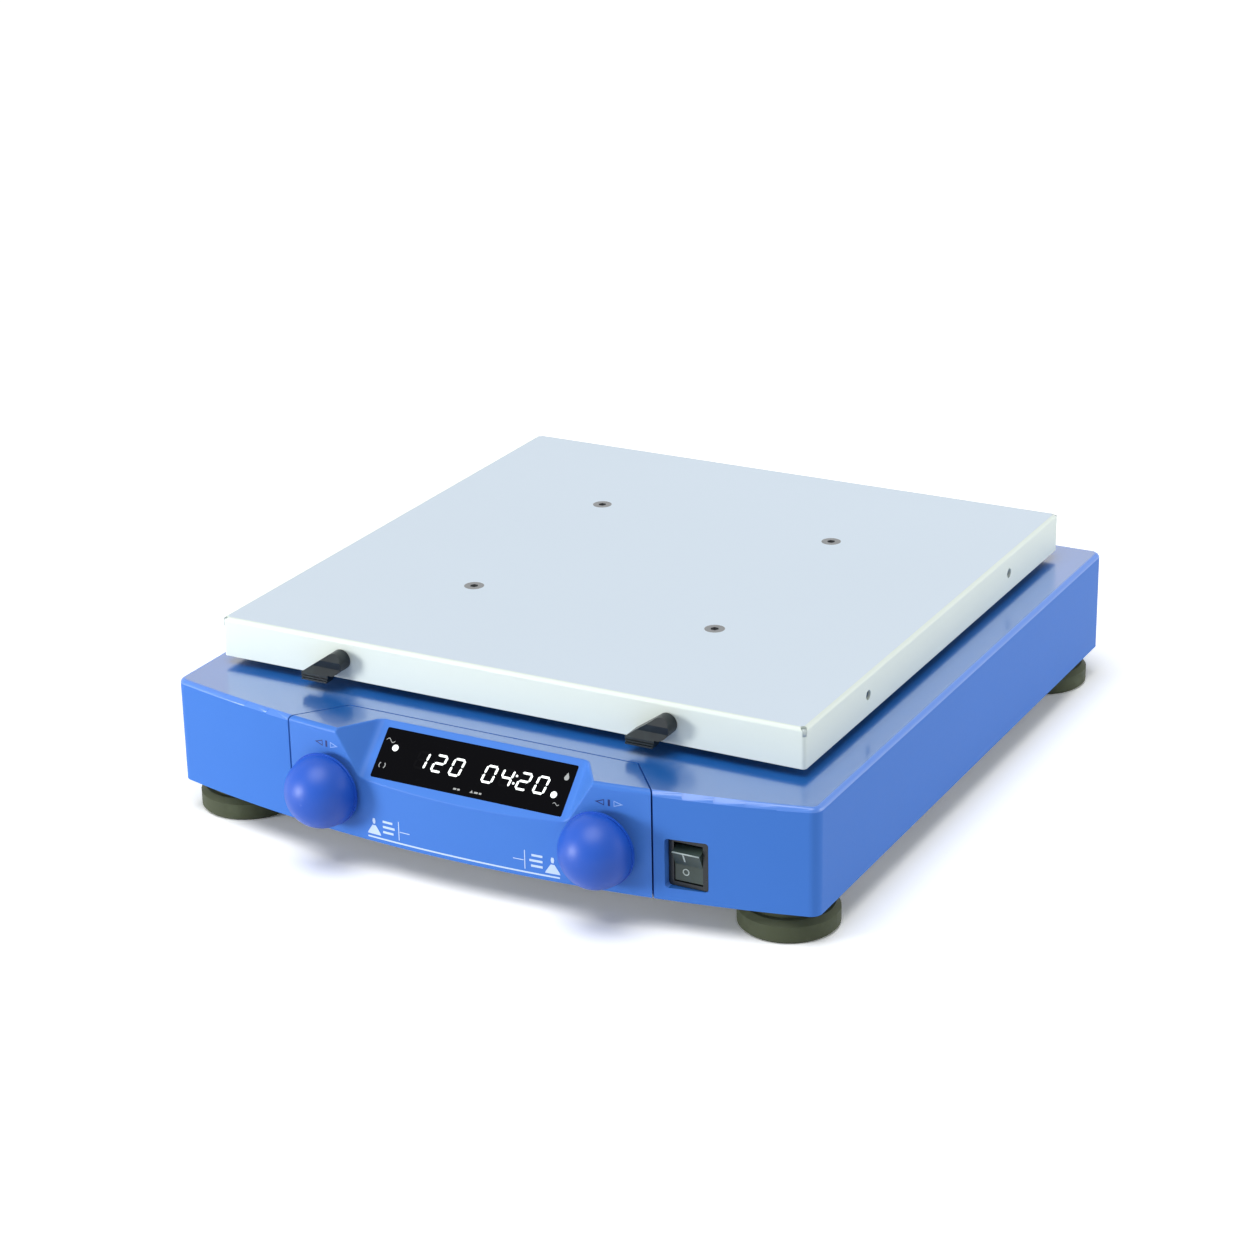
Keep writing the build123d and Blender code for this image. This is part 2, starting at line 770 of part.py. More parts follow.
rocker_section = [
    (-6.0, 0.0),
    (-7.9, 8.2),
    (-2.0, 8.9),
    (3.0, 5.0),
    (4.0, 0.0),
    (3.0, -5.0),
    (-2.0, -8.9),
    (-7.9, -8.2),
]
tilt_cos = math.cos(math.radians(rocker_tilt))
tilt_sin = math.sin(math.radians(rocker_tilt))
rocker_outline = [
    (rocker_pivot_y + y * tilt_cos - z * tilt_sin, switch_z + y * tilt_sin + z * tilt_cos)
    for y, z in rocker_section
]
with BuildPart() as switch_rocker:
    with BuildSketch(Plane.YZ.offset(switch_x - rocker_width / 2)):
        with BuildLine():
            Polyline(*rocker_outline, close=True)
        make_face()
    extrude(amount=rocker_width)
    with BuildSketch(Plane.YZ.offset(switch_x - switch_width / 2 + 1.3)):
        with Locations((rocker_pivot_y, switch_z)):
            Circle(rocker_pivot_radius)
    extrude(amount=switch_width - 2.6)
switch_rocker.part.label = "switch_rocker"
export_step(switch_rocker.part, "parts/switch_rocker.step")

with BuildPart() as switch_terminals:
    with BuildSketch(Plane.XZ.offset(-switch_back_y - 8)):
        with Locations((switch_x, switch_z)):
            with GridLocations(0, 7, 1, 3):
                Rectangle(4.8, 0.8)
    extrude(amount=8)
switch_terminals.part.label = "switch_terminals"
export_step(switch_terminals.part, "parts/switch_terminals.step")

# Mains inlet
pin_positions = [(inlet_x - 7.0, inlet_z), (inlet_x + 7.0, inlet_z), (inlet_x, inlet_z + 4.0)]
with BuildPart() as inlet_body:
    with BuildSketch(Plane.XZ.offset(-rear_y - inlet_flange_thickness)):
        with Locations((inlet_x, inlet_z)):
            RectangleRounded(inlet_flange_width, inlet_flange_height, 2.5)
    extrude(amount=inlet_flange_thickness)
    with BuildSketch(Plane.XZ.offset(-rear_y)):
        with Locations((inlet_x, inlet_z)):
            RectangleRounded(inlet_width, inlet_height, 1.8)
    extrude(amount=inlet_depth)
    # clip lugs behind the rear wall
    with BuildSketch(Plane.XZ.offset(-rear_y + wall + fit_gap)):
        with Locations((inlet_x, inlet_z)):
            Rectangle(inlet_width + 3, 8)
    extrude(amount=2.5)
    with BuildSketch(Plane.XZ.offset(-rear_y - inlet_flange_thickness - 1)) as socket:
        with Locations((inlet_x, inlet_z)):
            Rectangle(24, 16.4)
        chamfer(socket.vertices().sort_by(Axis.Y)[-2:], length=4.5)
    extrude(amount=16.5, mode=Mode.SUBTRACT)
    with BuildSketch(Plane.XZ.offset(-rear_y)):
        with Locations(*pin_positions):
            Rectangle(2 + 2 * shaft_fit, 4 + 2 * shaft_fit)
    extrude(amount=inlet_depth, mode=Mode.SUBTRACT)
inlet_body.part.label = "inlet_body"
export_step(inlet_body.part, "parts/inlet_body.step")

with BuildPart() as inlet_pins:
    with BuildSketch(Plane.XZ.offset(-rear_y + 1)):
        with Locations(*pin_positions):
            Rectangle(2, 4)
    extrude(amount=inlet_depth + 3)
inlet_pins.part.label = "inlet_pins"
export_step(inlet_pins.part, "parts/inlet_pins.step")

# Electronics boards on pillars
with BuildPart() as board_pillars:
    with BuildSketch(Plane.XY.offset(base_top_z)):
        with Locations(*board_pillar_points):
            Circle(pillar_radius)
    extrude(amount=board_z - base_top_z)
board_pillars.part.label = "board_pillars"
export_step(board_pillars.part, "parts/board_pillars.step")

with BuildPart() as control_board:
    with BuildSketch(Plane.XY.offset(board_z)):
        with Locations((0, control_board_y)):
            Rectangle(control_board_length, control_board_width)
    extrude(amount=board_thickness)
control_board.part.label = "control_board"
export_step(control_board.part, "parts/control_board.step")

board_top_z = board_z + board_thickness
with BuildPart() as control_board_parts:
    # processor, a row of drivers and two plugs
    with BuildSketch(Plane.XY.offset(board_top_z)):
        with Locations((-control_board_length / 4, control_board_y + 6)):
            Rectangle(processor_size, processor_size)
        with Locations((10, control_board_y - 12)):
            with GridLocations(driver_pitch, 0, 4, 1):
                Rectangle(driver_width, driver_length)
        with Locations((-8, control_board_y + 16), (40, control_board_y + 14)):
            Rectangle(plug_length, plug_width)
    extrude(amount=driver_height)
    # two capacitors near the end of the board
    with BuildSketch(Plane.XY.offset(board_top_z)):
        with Locations((control_board_length / 2 - control_capacitor_radius - 9, control_board_y - 5)):
            with GridLocations(0, 2 * control_capacitor_radius + capacitor_gap, 1, 2):
                Circle(control_capacitor_radius)
    extrude(amount=control_capacitor_height)
control_board_parts.part.label = "control_board_parts"
export_step(control_board_parts.part, "parts/control_board_parts.step")

with BuildPart() as power_board:
    with BuildSketch(Plane.XY.offset(board_z)):
        with Locations((power_board_x, power_board_y)):
            Rectangle(power_board_width, power_board_length)
    extrude(amount=board_thickness)
power_board.part.label = "power_board"
export_step(power_board.part, "parts/power_board.step")

power_board_front_y = power_board_y - power_board_length / 2
power_board_rear_y = power_board_y + power_board_length / 2
with BuildPart() as power_board_parts:
    with BuildSketch(Plane.XY.offset(board_top_z)):
        with Locations((power_board_x, power_board_front_y + transformer_inset)):
            Rectangle(transformer_length, transformer_width)
    extrude(amount=transformer_height)
    with BuildSketch(Plane.XY.offset(board_top_z)):
        with Locations((power_board_x, power_board_y + power_capacitor_offset)):
            with GridLocations(2 * power_capacitor_radius + power_capacitor_gap, 0, 2, 1):
                Circle(power_capacitor_radius)
    extrude(amount=power_capacitor_height)
    with BuildSketch(Plane.XY.offset(board_top_z)):
        with Locations((power_board_x, power_board_rear_y - connector_inset)):
            Rectangle(connector_length, connector_width)
    extrude(amount=connector_width)
power_board_parts.part.label = "power_board_parts"
export_step(power_board_parts.part, "parts/power_board_parts.step")

# Central bearing housing and its two bearings
with BuildPart() as main_bearing_housing:
    with BuildSketch(Plane.XY.offset(base_top_z)):
        with Locations((0, axis_y)):
            Circle(housing_screw_radius + flange_edge)
    extrude(amount=mount_flange)
    with BuildSketch(Plane.XY.offset(base_top_z)):
        with Locations((0, axis_y)):
            Circle(bearing_outer + bearing_wall)
    extrude(amount=upper_bearing_z + bearing_width + 0.5 - base_top_z)
    with BuildSketch(Plane.XY.offset(base_top_z)):
        with Locations((0, axis_y)):
            Circle(bearing_outer + shaft_fit)
    extrude(amount=lower_bearing_z + bearing_width - base_top_z, mode=Mode.SUBTRACT)
    with BuildSketch(Plane.XY.offset(base_top_z)):
        with Locations((0, axis_y)):
            Circle(bearing_outer - bearing_shoulder)
    extrude(amount=60, mode=Mode.SUBTRACT)
    with BuildSketch(Plane.XY.offset(upper_bearing_z)):
        with Locations((0, axis_y)):
            Circle(bearing_outer + shaft_fit)
    extrude(amount=20, mode=Mode.SUBTRACT)
    with BuildSketch(Plane.XY.offset(base_top_z)):
        with Locations((0, axis_y)):
            with PolarLocations(housing_screw_radius, 4, start_angle=45):
                Circle(screw_hole_radius)
    extrude(amount=mount_flange, mode=Mode.SUBTRACT)
main_bearing_housing.part.label = "main_bearing_housing"
export_step(main_bearing_housing.part, "parts/main_bearing_housing.step")

with BuildPart() as main_bearing_outer_rings:
    for z in (lower_bearing_z, upper_bearing_z):
        with BuildSketch(Plane.XY.offset(z)):
            with Locations((0, axis_y)):
                Circle(bearing_outer)
                Circle(bearing_land + fit_gap, mode=Mode.SUBTRACT)
        extrude(amount=bearing_width)
main_bearing_outer_rings.part.label = "main_bearing_outer_rings"
export_step(main_bearing_outer_rings.part, "parts/main_bearing_outer_rings.step")

with BuildPart() as main_bearing_inner_rings:
    for z in (lower_bearing_z, upper_bearing_z):
        with BuildSketch(Plane.XY.offset(z)):
            with Locations((0, axis_y)):
                Circle(bearing_land)
                Circle(bearing_bore + shaft_fit, mode=Mode.SUBTRACT)
        extrude(amount=bearing_width)
main_bearing_inner_rings.part.label = "main_bearing_inner_rings"
export_step(main_bearing_inner_rings.part, "parts/main_bearing_inner_rings.step")

# Drive crank: shaft, flange, and crank pin standing off the axis by the orbit radius
pin_x = -orbit_radius
with BuildPart() as drive_crank:
    with BuildSketch(Plane.XY.offset(lower_bearing_z - 1)):
        with Locations((0, axis_y)):
            Circle(bearing_bore)
    extrude(amount=crank_flange_z - lower_bearing_z + 1)
    with BuildSketch(Plane.XY.offset(upper_bearing_z + bearing_width)):
        with Locations((0, axis_y)):
            Circle(bearing_land - 0.3)
    extrude(amount=crank_flange_z - upper_bearing_z - bearing_width)
    with BuildSketch(Plane.XY.offset(crank_flange_z)):
        with Locations((0, axis_y)):
            Circle(crank_screw_radius + crank_flange_edge)
    extrude(amount=crank_flange_thickness)
    with BuildSketch(Plane.XY.offset(crank_flange_z + crank_flange_thickness)):
        with Locations((pin_x, axis_y)):
            Circle(bearing_land - 0.3)
    extrude(amount=pin_bearing_z - crank_flange_z - crank_flange_thickness)
    with BuildSketch(Plane.XY.offset(pin_bearing_z)):
        with Locations((pin_x, axis_y)):
            Circle(bearing_bore)
    extrude(amount=bearing_width)
    with BuildSketch(Plane.XY.offset(pin_bearing_z - 6)):
        with Locations((pin_x, axis_y)):
            Circle(2.5 + shaft_fit)
    extrude(amount=bearing_width + 6, mode=Mode.SUBTRACT)
    with BuildSketch(Plane.XY.offset(crank_flange_z)):
        with Locations((0, axis_y)):
            with PolarLocations(crank_screw_radius, 4, start_angle=45):
                Circle(screw_tap_radius)
    extrude(amount=crank_flange_thickness, mode=Mode.SUBTRACT)
drive_crank.part.label = "drive_crank"
export_step(drive_crank.part, "parts/drive_crank.step")

web_z = crank_flange_z + crank_flange_thickness
counterweight_screw_circle = counterweight_outer - counterweight_screw_inset
counterweight_screw_places = [
    (
        counterweight_screw_circle * math.cos(math.radians(a)),
        counterweight_screw_circle * math.sin(math.radians(a)),
    )
    for a in (-counterweight_screw_angle, counterweight_screw_angle)
]
with BuildPart() as driven_pulley:
    with BuildSketch(Plane.XY.offset(pulley_bottom_z)):
        with Locations((0, axis_y)):
            Circle(pulley_running_radius)
            Circle(pulley_running_radius - pulley_rim, mode=Mode.SUBTRACT)
    extrude(amount=pulley_height)
    for z in (pulley_bottom_z, pulley_bottom_z + pulley_height - pulley_lip):
        with BuildSketch(Plane.XY.offset(z)):
            with Locations((0, axis_y)):
                Circle(pulley_running_radius + flange_lip)
                Circle(pulley_running_radius - 1, mode=Mode.SUBTRACT)
        extrude(amount=pulley_lip)
    with BuildSketch(Plane.XY.offset(web_z)):
        with Locations((0, axis_y)):
            Circle(pulley_running_radius - pulley_rim + 1)
            Circle(web_bore_radius, mode=Mode.SUBTRACT)
            with PolarLocations(web_hole_circle, 6, start_angle=0):
                Circle(web_hole_radius, mode=Mode.SUBTRACT)
            with PolarLocations(crank_screw_radius, 4, start_angle=45):
                Circle(screw_hole_radius, mode=Mode.SUBTRACT)
    extrude(amount=web_thickness)
    with BuildSketch(Plane.XY.offset(web_z)):
        with Locations((0, axis_y)):
            with Locations(*counterweight_screw_places):
                Circle(screw_tap_radius + 2.5)
    extrude(amount=web_thickness)
    with BuildSketch(Plane.XY.offset(web_z)):
        with Locations((0, axis_y)):
            with Locations(*counterweight_screw_places):
                Circle(screw_tap_radius)
    extrude(amount=web_thickness, mode=Mode.SUBTRACT)
    # three shallow belt grooves
    for k in range(3):
        with BuildSketch(Plane.XY.offset(belt_bottom_z + 1.0 + 2.2 * k)):
            with Locations((0, axis_y)):
                Circle(pulley_running_radius + 1)
                Circle(pulley_running_radius - 0.8, mode=Mode.SUBTRACT)
        extrude(amount=0.8, mode=Mode.SUBTRACT)
driven_pulley.part.label = "driven_pulley"
export_step(driven_pulley.part, "parts/driven_pulley.step")

counterweight_z = web_z + web_thickness
with BuildPart() as counterweight:
    with BuildSketch(Plane.XY.offset(counterweight_z)):
        with Locations((0, axis_y)):
            Circle(counterweight_outer)
            Circle(counterweight_inner, mode=Mode.SUBTRACT)
        with BuildLine():
            far = 2 * counterweight_outer
            far_x = far * math.cos(math.radians(counterweight_half_angle))
            far_y = far * math.sin(math.radians(counterweight_half_angle))
            Polyline(
                (0, axis_y),
                (far_x, axis_y + far_y),
                (far, axis_y + far),
                (far, axis_y - far),
                (far_x, axis_y - far_y),
                close=True,
            )
        make_face(mode=Mode.INTERSECT)
    extrude(amount=counterweight_height)
    with BuildSketch(Plane.XY.offset(counterweight_z)):
        with Locations((0, axis_y)):
            with Locations(*counterweight_screw_places):
                Circle(screw_hole_radius)
    extrude(amount=counterweight_height, mode=Mode.SUBTRACT)
    with BuildSketch(Plane.XY.offset(counterweight_z + counterweight_seat)):
        with Locations((0, axis_y)):
            with Locations(*counterweight_screw_places):
                Circle(screw_head_radius + 0.4)
    extrude(amount=counterweight_height, mode=Mode.SUBTRACT)
counterweight.part.label = "counterweight"
export_step(counterweight.part, "parts/counterweight.step")

# button head screw with a hexagon socket, its seat at Z = 0
with BuildPart() as button_screw:
    with BuildSketch(Plane.XY.offset(-screw_length)):
        Circle(screw_radius)
    extrude(amount=screw_length)
    with BuildSketch():
        Circle(screw_head_radius)
    extrude(amount=screw_head_height)
    fillet(button_screw.faces().sort_by(Axis.Z)[-1].edges(), radius=1.2)
    with BuildSketch(Plane.XY.offset(screw_head_height - 1.3)):
        RegularPolygon(1.4, 6)
    extrude(amount=2, mode=Mode.SUBTRACT)

crank_screw_seats = [
    (
        crank_screw_radius * math.cos(math.radians(a)),
        axis_y + crank_screw_radius * math.sin(math.radians(a)),
        web_z + web_thickness,
    )
    for a in (45, 135, 225, 315)
] + [
    (x, axis_y + y, counterweight_z + counterweight_seat)
    for x, y in counterweight_screw_places
]
with BuildPart() as crank_screws:
    with Locations(*crank_screw_seats):
        add(button_screw.part)
crank_screws.part.label = "crank_screws"
export_step(crank_screws.part, "parts/crank_screws.step")

with BuildPart() as pin_bearing_inner_ring:
    with BuildSketch(Plane.XY.offset(pin_bearing_z)):
        with Locations((pin_x, axis_y)):
            Circle(bearing_land)
            Circle(bearing_bore + shaft_fit, mode=Mode.SUBTRACT)
    extrude(amount=bearing_width)
pin_bearing_inner_ring.part.label = "pin_bearing_inner_ring"
export_step(pin_bearing_inner_ring.part, "parts/pin_bearing_inner_ring.step")

with BuildPart() as pin_bearing_outer_ring:
    with BuildSketch(Plane.XY.offset(pin_bearing_z)):
        with Locations((pin_x, axis_y)):
            Circle(bearing_outer)
            Circle(bearing_land + fit_gap, mode=Mode.SUBTRACT)
    extrude(amount=bearing_width)
pin_bearing_outer_ring.part.label = "pin_bearing_outer_ring"
export_step(pin_bearing_outer_ring.part, "parts/pin_bearing_outer_ring.step")

with BuildPart() as crank_pin_screw:
    with BuildSketch(Plane.XY.offset(pin_bearing_z + bearing_width)):
        with Locations((pin_x, axis_y)):
            Circle(bearing_land - 0.3)
    extrude(amount=1.0)
    with BuildSketch(Plane.XY.offset(pin_bearing_z + bearing_width + 1.0)):
        with Locations((pin_x, axis_y)):
            Circle(4.25)
    extrude(amount=4.0)
    with BuildSketch(Plane.XY.offset(pin_bearing_z - 4)):
        with Locations((pin_x, axis_y)):
            Circle(2.5)
    extrude(amount=bearing_width + 5)
    with BuildSketch(Plane.XY.offset(pin_bearing_z + bearing_width + 3)):
        with Locations((pin_x, axis_y)):
            RegularPolygon(2.3, 6)
    extrude(amount=3, mode=Mode.SUBTRACT)
crank_pin_screw.part.label = "crank_pin_screw"
export_step(crank_pin_screw.part, "parts/crank_pin_screw.step")

# Belt round both pulleys
centre_distance = motor_y - axis_y
belt_inner_big = pulley_running_radius + belt_clearance
belt_inner_small = motor_pulley_running_radius + belt_clearance
with BuildPart() as drive_belt:
    for grow, how in ((belt_thickness, Mode.ADD), (0, Mode.SUBTRACT)):
        big = belt_inner_big + grow
        small = belt_inner_small + grow
        lean = math.asin((big - small) / centre_distance)
        with BuildSketch(Plane.XY.offset(belt_bottom_z)):
            with Locations((0, axis_y)):
                Circle(big)
            with Locations((0, motor_y)):
                Circle(small)
            with BuildLine():
                Polyline(
                    (big * math.cos(lean), axis_y + big * math.sin(lean)),
                    (small * math.cos(lean), motor_y + small * math.sin(lean)),
                    (-small * math.cos(lean), motor_y + small * math.sin(lean)),
                    (-big * math.cos(lean), axis_y + big * math.sin(lean)),
                    close=True,
                )
            make_face()
        extrude(amount=belt_width, mode=how)
drive_belt.part.label = "drive_belt"
export_step(drive_belt.part, "parts/drive_belt.step")

# Motor, its pulley and its bracket
with BuildPart() as motor_stator:
    with BuildSketch(Plane.XY.offset(motor_bottom_z)):
        with Locations((0, motor_y)):
            Circle(motor_radius)
    extrude(amount=motor_top_z - motor_bottom_z)
    fillet(motor_stator.faces().sort_by(Axis.Z)[0].edges(), radius=2)
    with BuildSketch(Plane.XY.offset(motor_bottom_z + 3)):
        with Locations((0, motor_y)):
            Circle(motor_radius - 2)
    extrude(amount=motor_top_z - motor_bottom_z - 6, mode=Mode.SUBTRACT)
    with BuildSketch(Plane.XY.offset(motor_bottom_z + 1)):
        with Locations((0, motor_y)):
            Circle(shaft_radius + running_clearance)
    extrude(amount=60, mode=Mode.SUBTRACT)
    with BuildSketch(Plane.XY.offset(motor_top_z - 3)):
        with Locations((0, motor_y)):
            with PolarLocations(motor_screw_radius, 4, start_angle=45):
                Circle(screw_tap_radius)
    extrude(amount=3, mode=Mode.SUBTRACT)
motor_stator.part.label = "motor_stator"
export_step(motor_stator.part, "parts/motor_stator.step")

with BuildPart() as motor_windings:
    with BuildSketch(Plane.XY.offset(motor_bottom_z + 3 + fit_gap)):
        with Locations((0, motor_y)):
            Circle(motor_radius - 2 - fit_gap)
            Circle(motor_rotor_radius + 0.6, mode=Mode.SUBTRACT)
            with PolarLocations(motor_rotor_radius + 2, 9):
                Rectangle(3.4, 1.6, mode=Mode.SUBTRACT)
    extrude(amount=motor_top_z - motor_bottom_z - 12)
motor_windings.part.label = "motor_windings"
export_step(motor_windings.part, "parts/motor_windings.step")

with BuildPart() as motor_rotor:
    with BuildSketch(Plane.XY.offset(motor_bottom_z + 1.5)):
        with Locations((0, motor_y)):
            Circle(shaft_radius)
    extrude(amount=pulley_bottom_z + pulley_height + 1 - motor_bottom_z - 1.5)
    with BuildSketch(Plane.XY.offset(motor_bottom_z + 3.5)):
        with Locations((0, motor_y)):
            Circle(motor_rotor_radius)
    extrude(amount=motor_top_z - motor_bottom_z - 12.5)
motor_rotor.part.label = "motor_rotor"
export_step(motor_rotor.part, "parts/motor_rotor.step")

with BuildPart() as motor_pulley:
    with BuildSketch(Plane.XY.offset(pulley_bottom_z)):
        with Locations((0, motor_y)):
            Circle(motor_pulley_running_radius)
    extrude(amount=pulley_height)
    for z in (pulley_bottom_z, pulley_bottom_z + pulley_height - pulley_lip):
        with BuildSketch(Plane.XY.offset(z)):
            with Locations((0, motor_y)):
                Circle(motor_pulley_running_radius + flange_lip)
        extrude(amount=pulley_lip)
    for k in range(3):
        with BuildSketch(Plane.XY.offset(belt_bottom_z + 1.0 + 2.2 * k)):
            with Locations((0, motor_y)):
                Circle(motor_pulley_running_radius + 1)
                Circle(motor_pulley_running_radius - 0.8, mode=Mode.SUBTRACT)
        extrude(amount=0.8, mode=Mode.SUBTRACT)
    with BuildSketch(Plane.XY.offset(pulley_bottom_z)):
        with Locations((0, motor_y)):
            Circle(shaft_radius + shaft_fit)
    extrude(amount=pulley_height, mode=Mode.SUBTRACT)
motor_pulley.part.label = "motor_pulley"
export_step(motor_pulley.part, "parts/motor_pulley.step")

bracket_half = motor_radius + bracket_reach
with BuildPart() as motor_bracket:
    with BuildSketch(Plane.XY.offset(motor_top_z)):
        with Locations((0, motor_y)):
            RectangleRounded(2 * bracket_half, bracket_depth, 4)
            Circle(bracket_opening, mode=Mode.SUBTRACT)
            with PolarLocations(motor_screw_radius, 4, start_angle=45):
                Circle(screw_hole_radius, mode=Mode.SUBTRACT)
    extrude(amount=mount_flange)
    with BuildSketch(Plane.XY.offset(base_top_z)):
        with Locations((-bracket_half + bracket_leg / 2, motor_y), (bracket_half - bracket_leg / 2, motor_y)):
            Rectangle(bracket_leg, bracket_leg_depth)
    extrude(amount=motor_top_z + 1 - base_top_z)
    with BuildSketch(Plane.XY.offset(base_top_z)):
        with Locations((-bracket_half, motor_y), (bracket_half, motor_y)):
            RectangleRounded(bracket_foot, bracket_leg_depth, 3)
        with Locations((0, motor_y)):
            Rectangle(2 * (bracket_half - bracket_leg), bracket_depth + 10, mode=Mode.SUBTRACT)
        with Locations(*bracket_screw_points):
            Circle(screw_hole_radius, mode=Mode.SUBTRACT)
    extrude(amount=mount_flange)
motor_bracket.part.label = "motor_bracket"
export_step(motor_bracket.part, "parts/motor_bracket.step")

# Idler posts, bushes and cranks that keep the table from turning
with BuildPart() as idler_posts:
    with BuildSketch(Plane.XY.offset(base_top_z)):
        with Locations(*idler_points):
            Circle(post_flange_radius)
    extrude(amount=mount_flange)
    with BuildSketch(Plane.XY.offset(base_top_z)):
        with Locations(*idler_points):
            Circle(bush_outer + 3)
    extrude(amount=post_top_z - base_top_z)
    with BuildSketch(Plane.XY.offset(base_top_z + 2)):
        with Locations(*idler_points):
            Circle(bush_outer + shaft_fit)
    extrude(amount=60, mode=Mode.SUBTRACT)
    with BuildSketch(Plane.XY.offset(base_top_z)):
        with Locations(*post_screw_points):
            Circle(screw_hole_radius)
    extrude(amount=mount_flange, mode=Mode.SUBTRACT)
idler_posts.part.label = "idler_posts"
export_step(idler_posts.part, "parts/idler_posts.step")

with BuildPart() as idler_lower_bushes:
    with BuildSketch(Plane.XY.offset(post_top_z - bush_length)):
        with Locations(*idler_points):
            Circle(bush_outer)
    extrude(amount=bush_length)
    with BuildSketch(Plane.XY.offset(post_top_z)):
        with Locations(*idler_points):
            Circle(bush_flange_radius)
    extrude(amount=bush_flange)
    with BuildSketch(Plane.XY.offset(post_top_z - bush_length)):
        with Locations(*idler_points):
            Circle(idler_pin_radius + running_clearance)
    extrude(amount=60, mode=Mode.SUBTRACT)
idler_lower_bushes.part.label = "idler_lower_bushes"
export_step(idler_lower_bushes.part, "parts/idler_lower_bushes.step")

web_bottom_z = post_top_z + bush_flange + fit_gap
for name, (ix, iy) in zip(idler_names, idler_points):
    with BuildPart() as idler:
        with BuildSketch(Plane.XY.offset(post_top_z - bush_length - 1)):
            with Locations((ix, iy)):
                Circle(idler_pin_radius)
        extrude(amount=web_bottom_z - post_top_z + bush_length + 1)
        with BuildSketch(Plane.XY.offset(web_bottom_z)):
            with Locations((ix, iy)):
                Circle(idler_web_radius)
        extrude(amount=idler_web_height)
        with BuildSketch(Plane.XY.offset(web_bottom_z)):
            with Locations((ix - orbit_radius, iy)):
                Circle(idler_boss_radius)
        extrude(amount=upper_bush_z - fit_gap - web_bottom_z)
        with BuildSketch(Plane.XY.offset(web_bottom_z)):
            with Locations((ix - orbit_radius, iy)):
                Circle(idler_pin_radius)
        extrude(amount=carrier_top_z - pin_end_chamfer - web_bottom_z)
        chamfer(idler.faces().sort_by(Axis.Z)[-1].edges(), length=pin_end_chamfer)
    idler.part.label = "idler_crank_" + name
    export_step(idler.part, "parts/idler_crank_" + name + ".step")

with BuildPart() as idler_upper_bushes:
    with BuildSketch(Plane.XY.offset(upper_bush_z)):
        with Locations(*pin_points):
            Circle(bush_flange_radius)
    extrude(amount=bush_flange)
    with BuildSketch(Plane.XY.offset(upper_bush_z)):
        with Locations(*pin_points):
            Circle(bush_outer)
    extrude(amount=carrier_top_z - 0.5 - upper_bush_z)
    with BuildSketch(Plane.XY.offset(upper_bush_z)):
        with Locations(*pin_points):
            Circle(idler_pin_radius + running_clearance)
    extrude(amount=60, mode=Mode.SUBTRACT)
idler_upper_bushes.part.label = "idler_upper_bushes"
export_step(idler_upper_bushes.part, "parts/idler_upper_bushes.step")

head_slope = (platform_screw_head - platform_screw_radius) / platform_head_depth
screw_seat_radius = platform_screw_head - platform_sheet * head_slope

# Table carrier, a cross under the platform
with BuildPart() as table_carrier:
    for turn in (45, 135):
        with BuildSketch(Plane.XY.offset(carrier_bottom_z)):
            with Locations(Location((platform_x, platform_y, 0), (0, 0, turn))):
                Rectangle(2 * math.hypot(idler_pitch, idler_pitch), arm_width)
        extrude(amount=carrier_top_z - carrier_bottom_z)
        with BuildSketch(Plane.XY.offset(carrier_bottom_z - rib_height)):
            with Locations(Location((platform_x, platform_y, 0), (0, 0, turn))):
                Rectangle(2 * math.hypot(idler_pitch, idler_pitch) - 10, 5)
        extrude(amount=rib_height + 1)
    with BuildSketch(Plane.XY.offset(hub_bottom_z)):
        with Locations((platform_x, platform_y)):
            Circle(bearing_outer + 5)
    extrude(amount=carrier_top_z - hub_bottom_z)
    with BuildSketch(Plane.XY.offset(upper_bush_z + bush_flange)):
        with Locations(*pin_points):
            Circle(bush_outer + 5)
    extrude(amount=carrier_top_z - upper_bush_z - bush_flange)
    with BuildSketch(Plane.XY.offset(carrier_top_z)):
        with Locations(*platform_screw_points):
            Circle(9)
    extrude(amount=plate_under_z - carrier_top_z)
    with BuildSketch(Plane.XY.offset(hub_bottom_z)):
        with Locations((platform_x, platform_y)):
            Circle(bearing_outer + shaft_fit)
    extrude(amount=pin_bearing_z + bearing_width - hub_bottom_z, mode=Mode.SUBTRACT)
    with BuildSketch(Plane.XY.offset(hub_bottom_z)):
        with Locations((platform_x, platform_y)):
            Circle(bearing_outer - 3.5)
    extrude(amount=60, mode=Mode.SUBTRACT)
    with BuildSketch(Plane.XY.offset(upper_bush_z)):
        with Locations(*pin_points):
            Circle(bush_outer + shaft_fit)
    extrude(amount=60, mode=Mode.SUBTRACT)
    with BuildSketch(Plane.XY.offset(carrier_bottom_z - rib_height)):
        with Locations(*platform_screw_points):
            Circle(platform_screw_radius + shaft_fit)
    extrude(amount=60, mode=Mode.SUBTRACT)
    with Locations(*[Location((x, y, plate_under_z)) for x, y in platform_screw_points]):
        Cone(
            platform_screw_radius + 0.05,
            screw_seat_radius + 0.05,
            platform_head_depth - platform_sheet,
            align=(Align.CENTER, Align.CENTER, Align.MAX),
            mode=Mode.SUBTRACT,
        )
table_carrier.part.label = "table_carrier"
export_step(table_carrier.part, "parts/table_carrier.step")

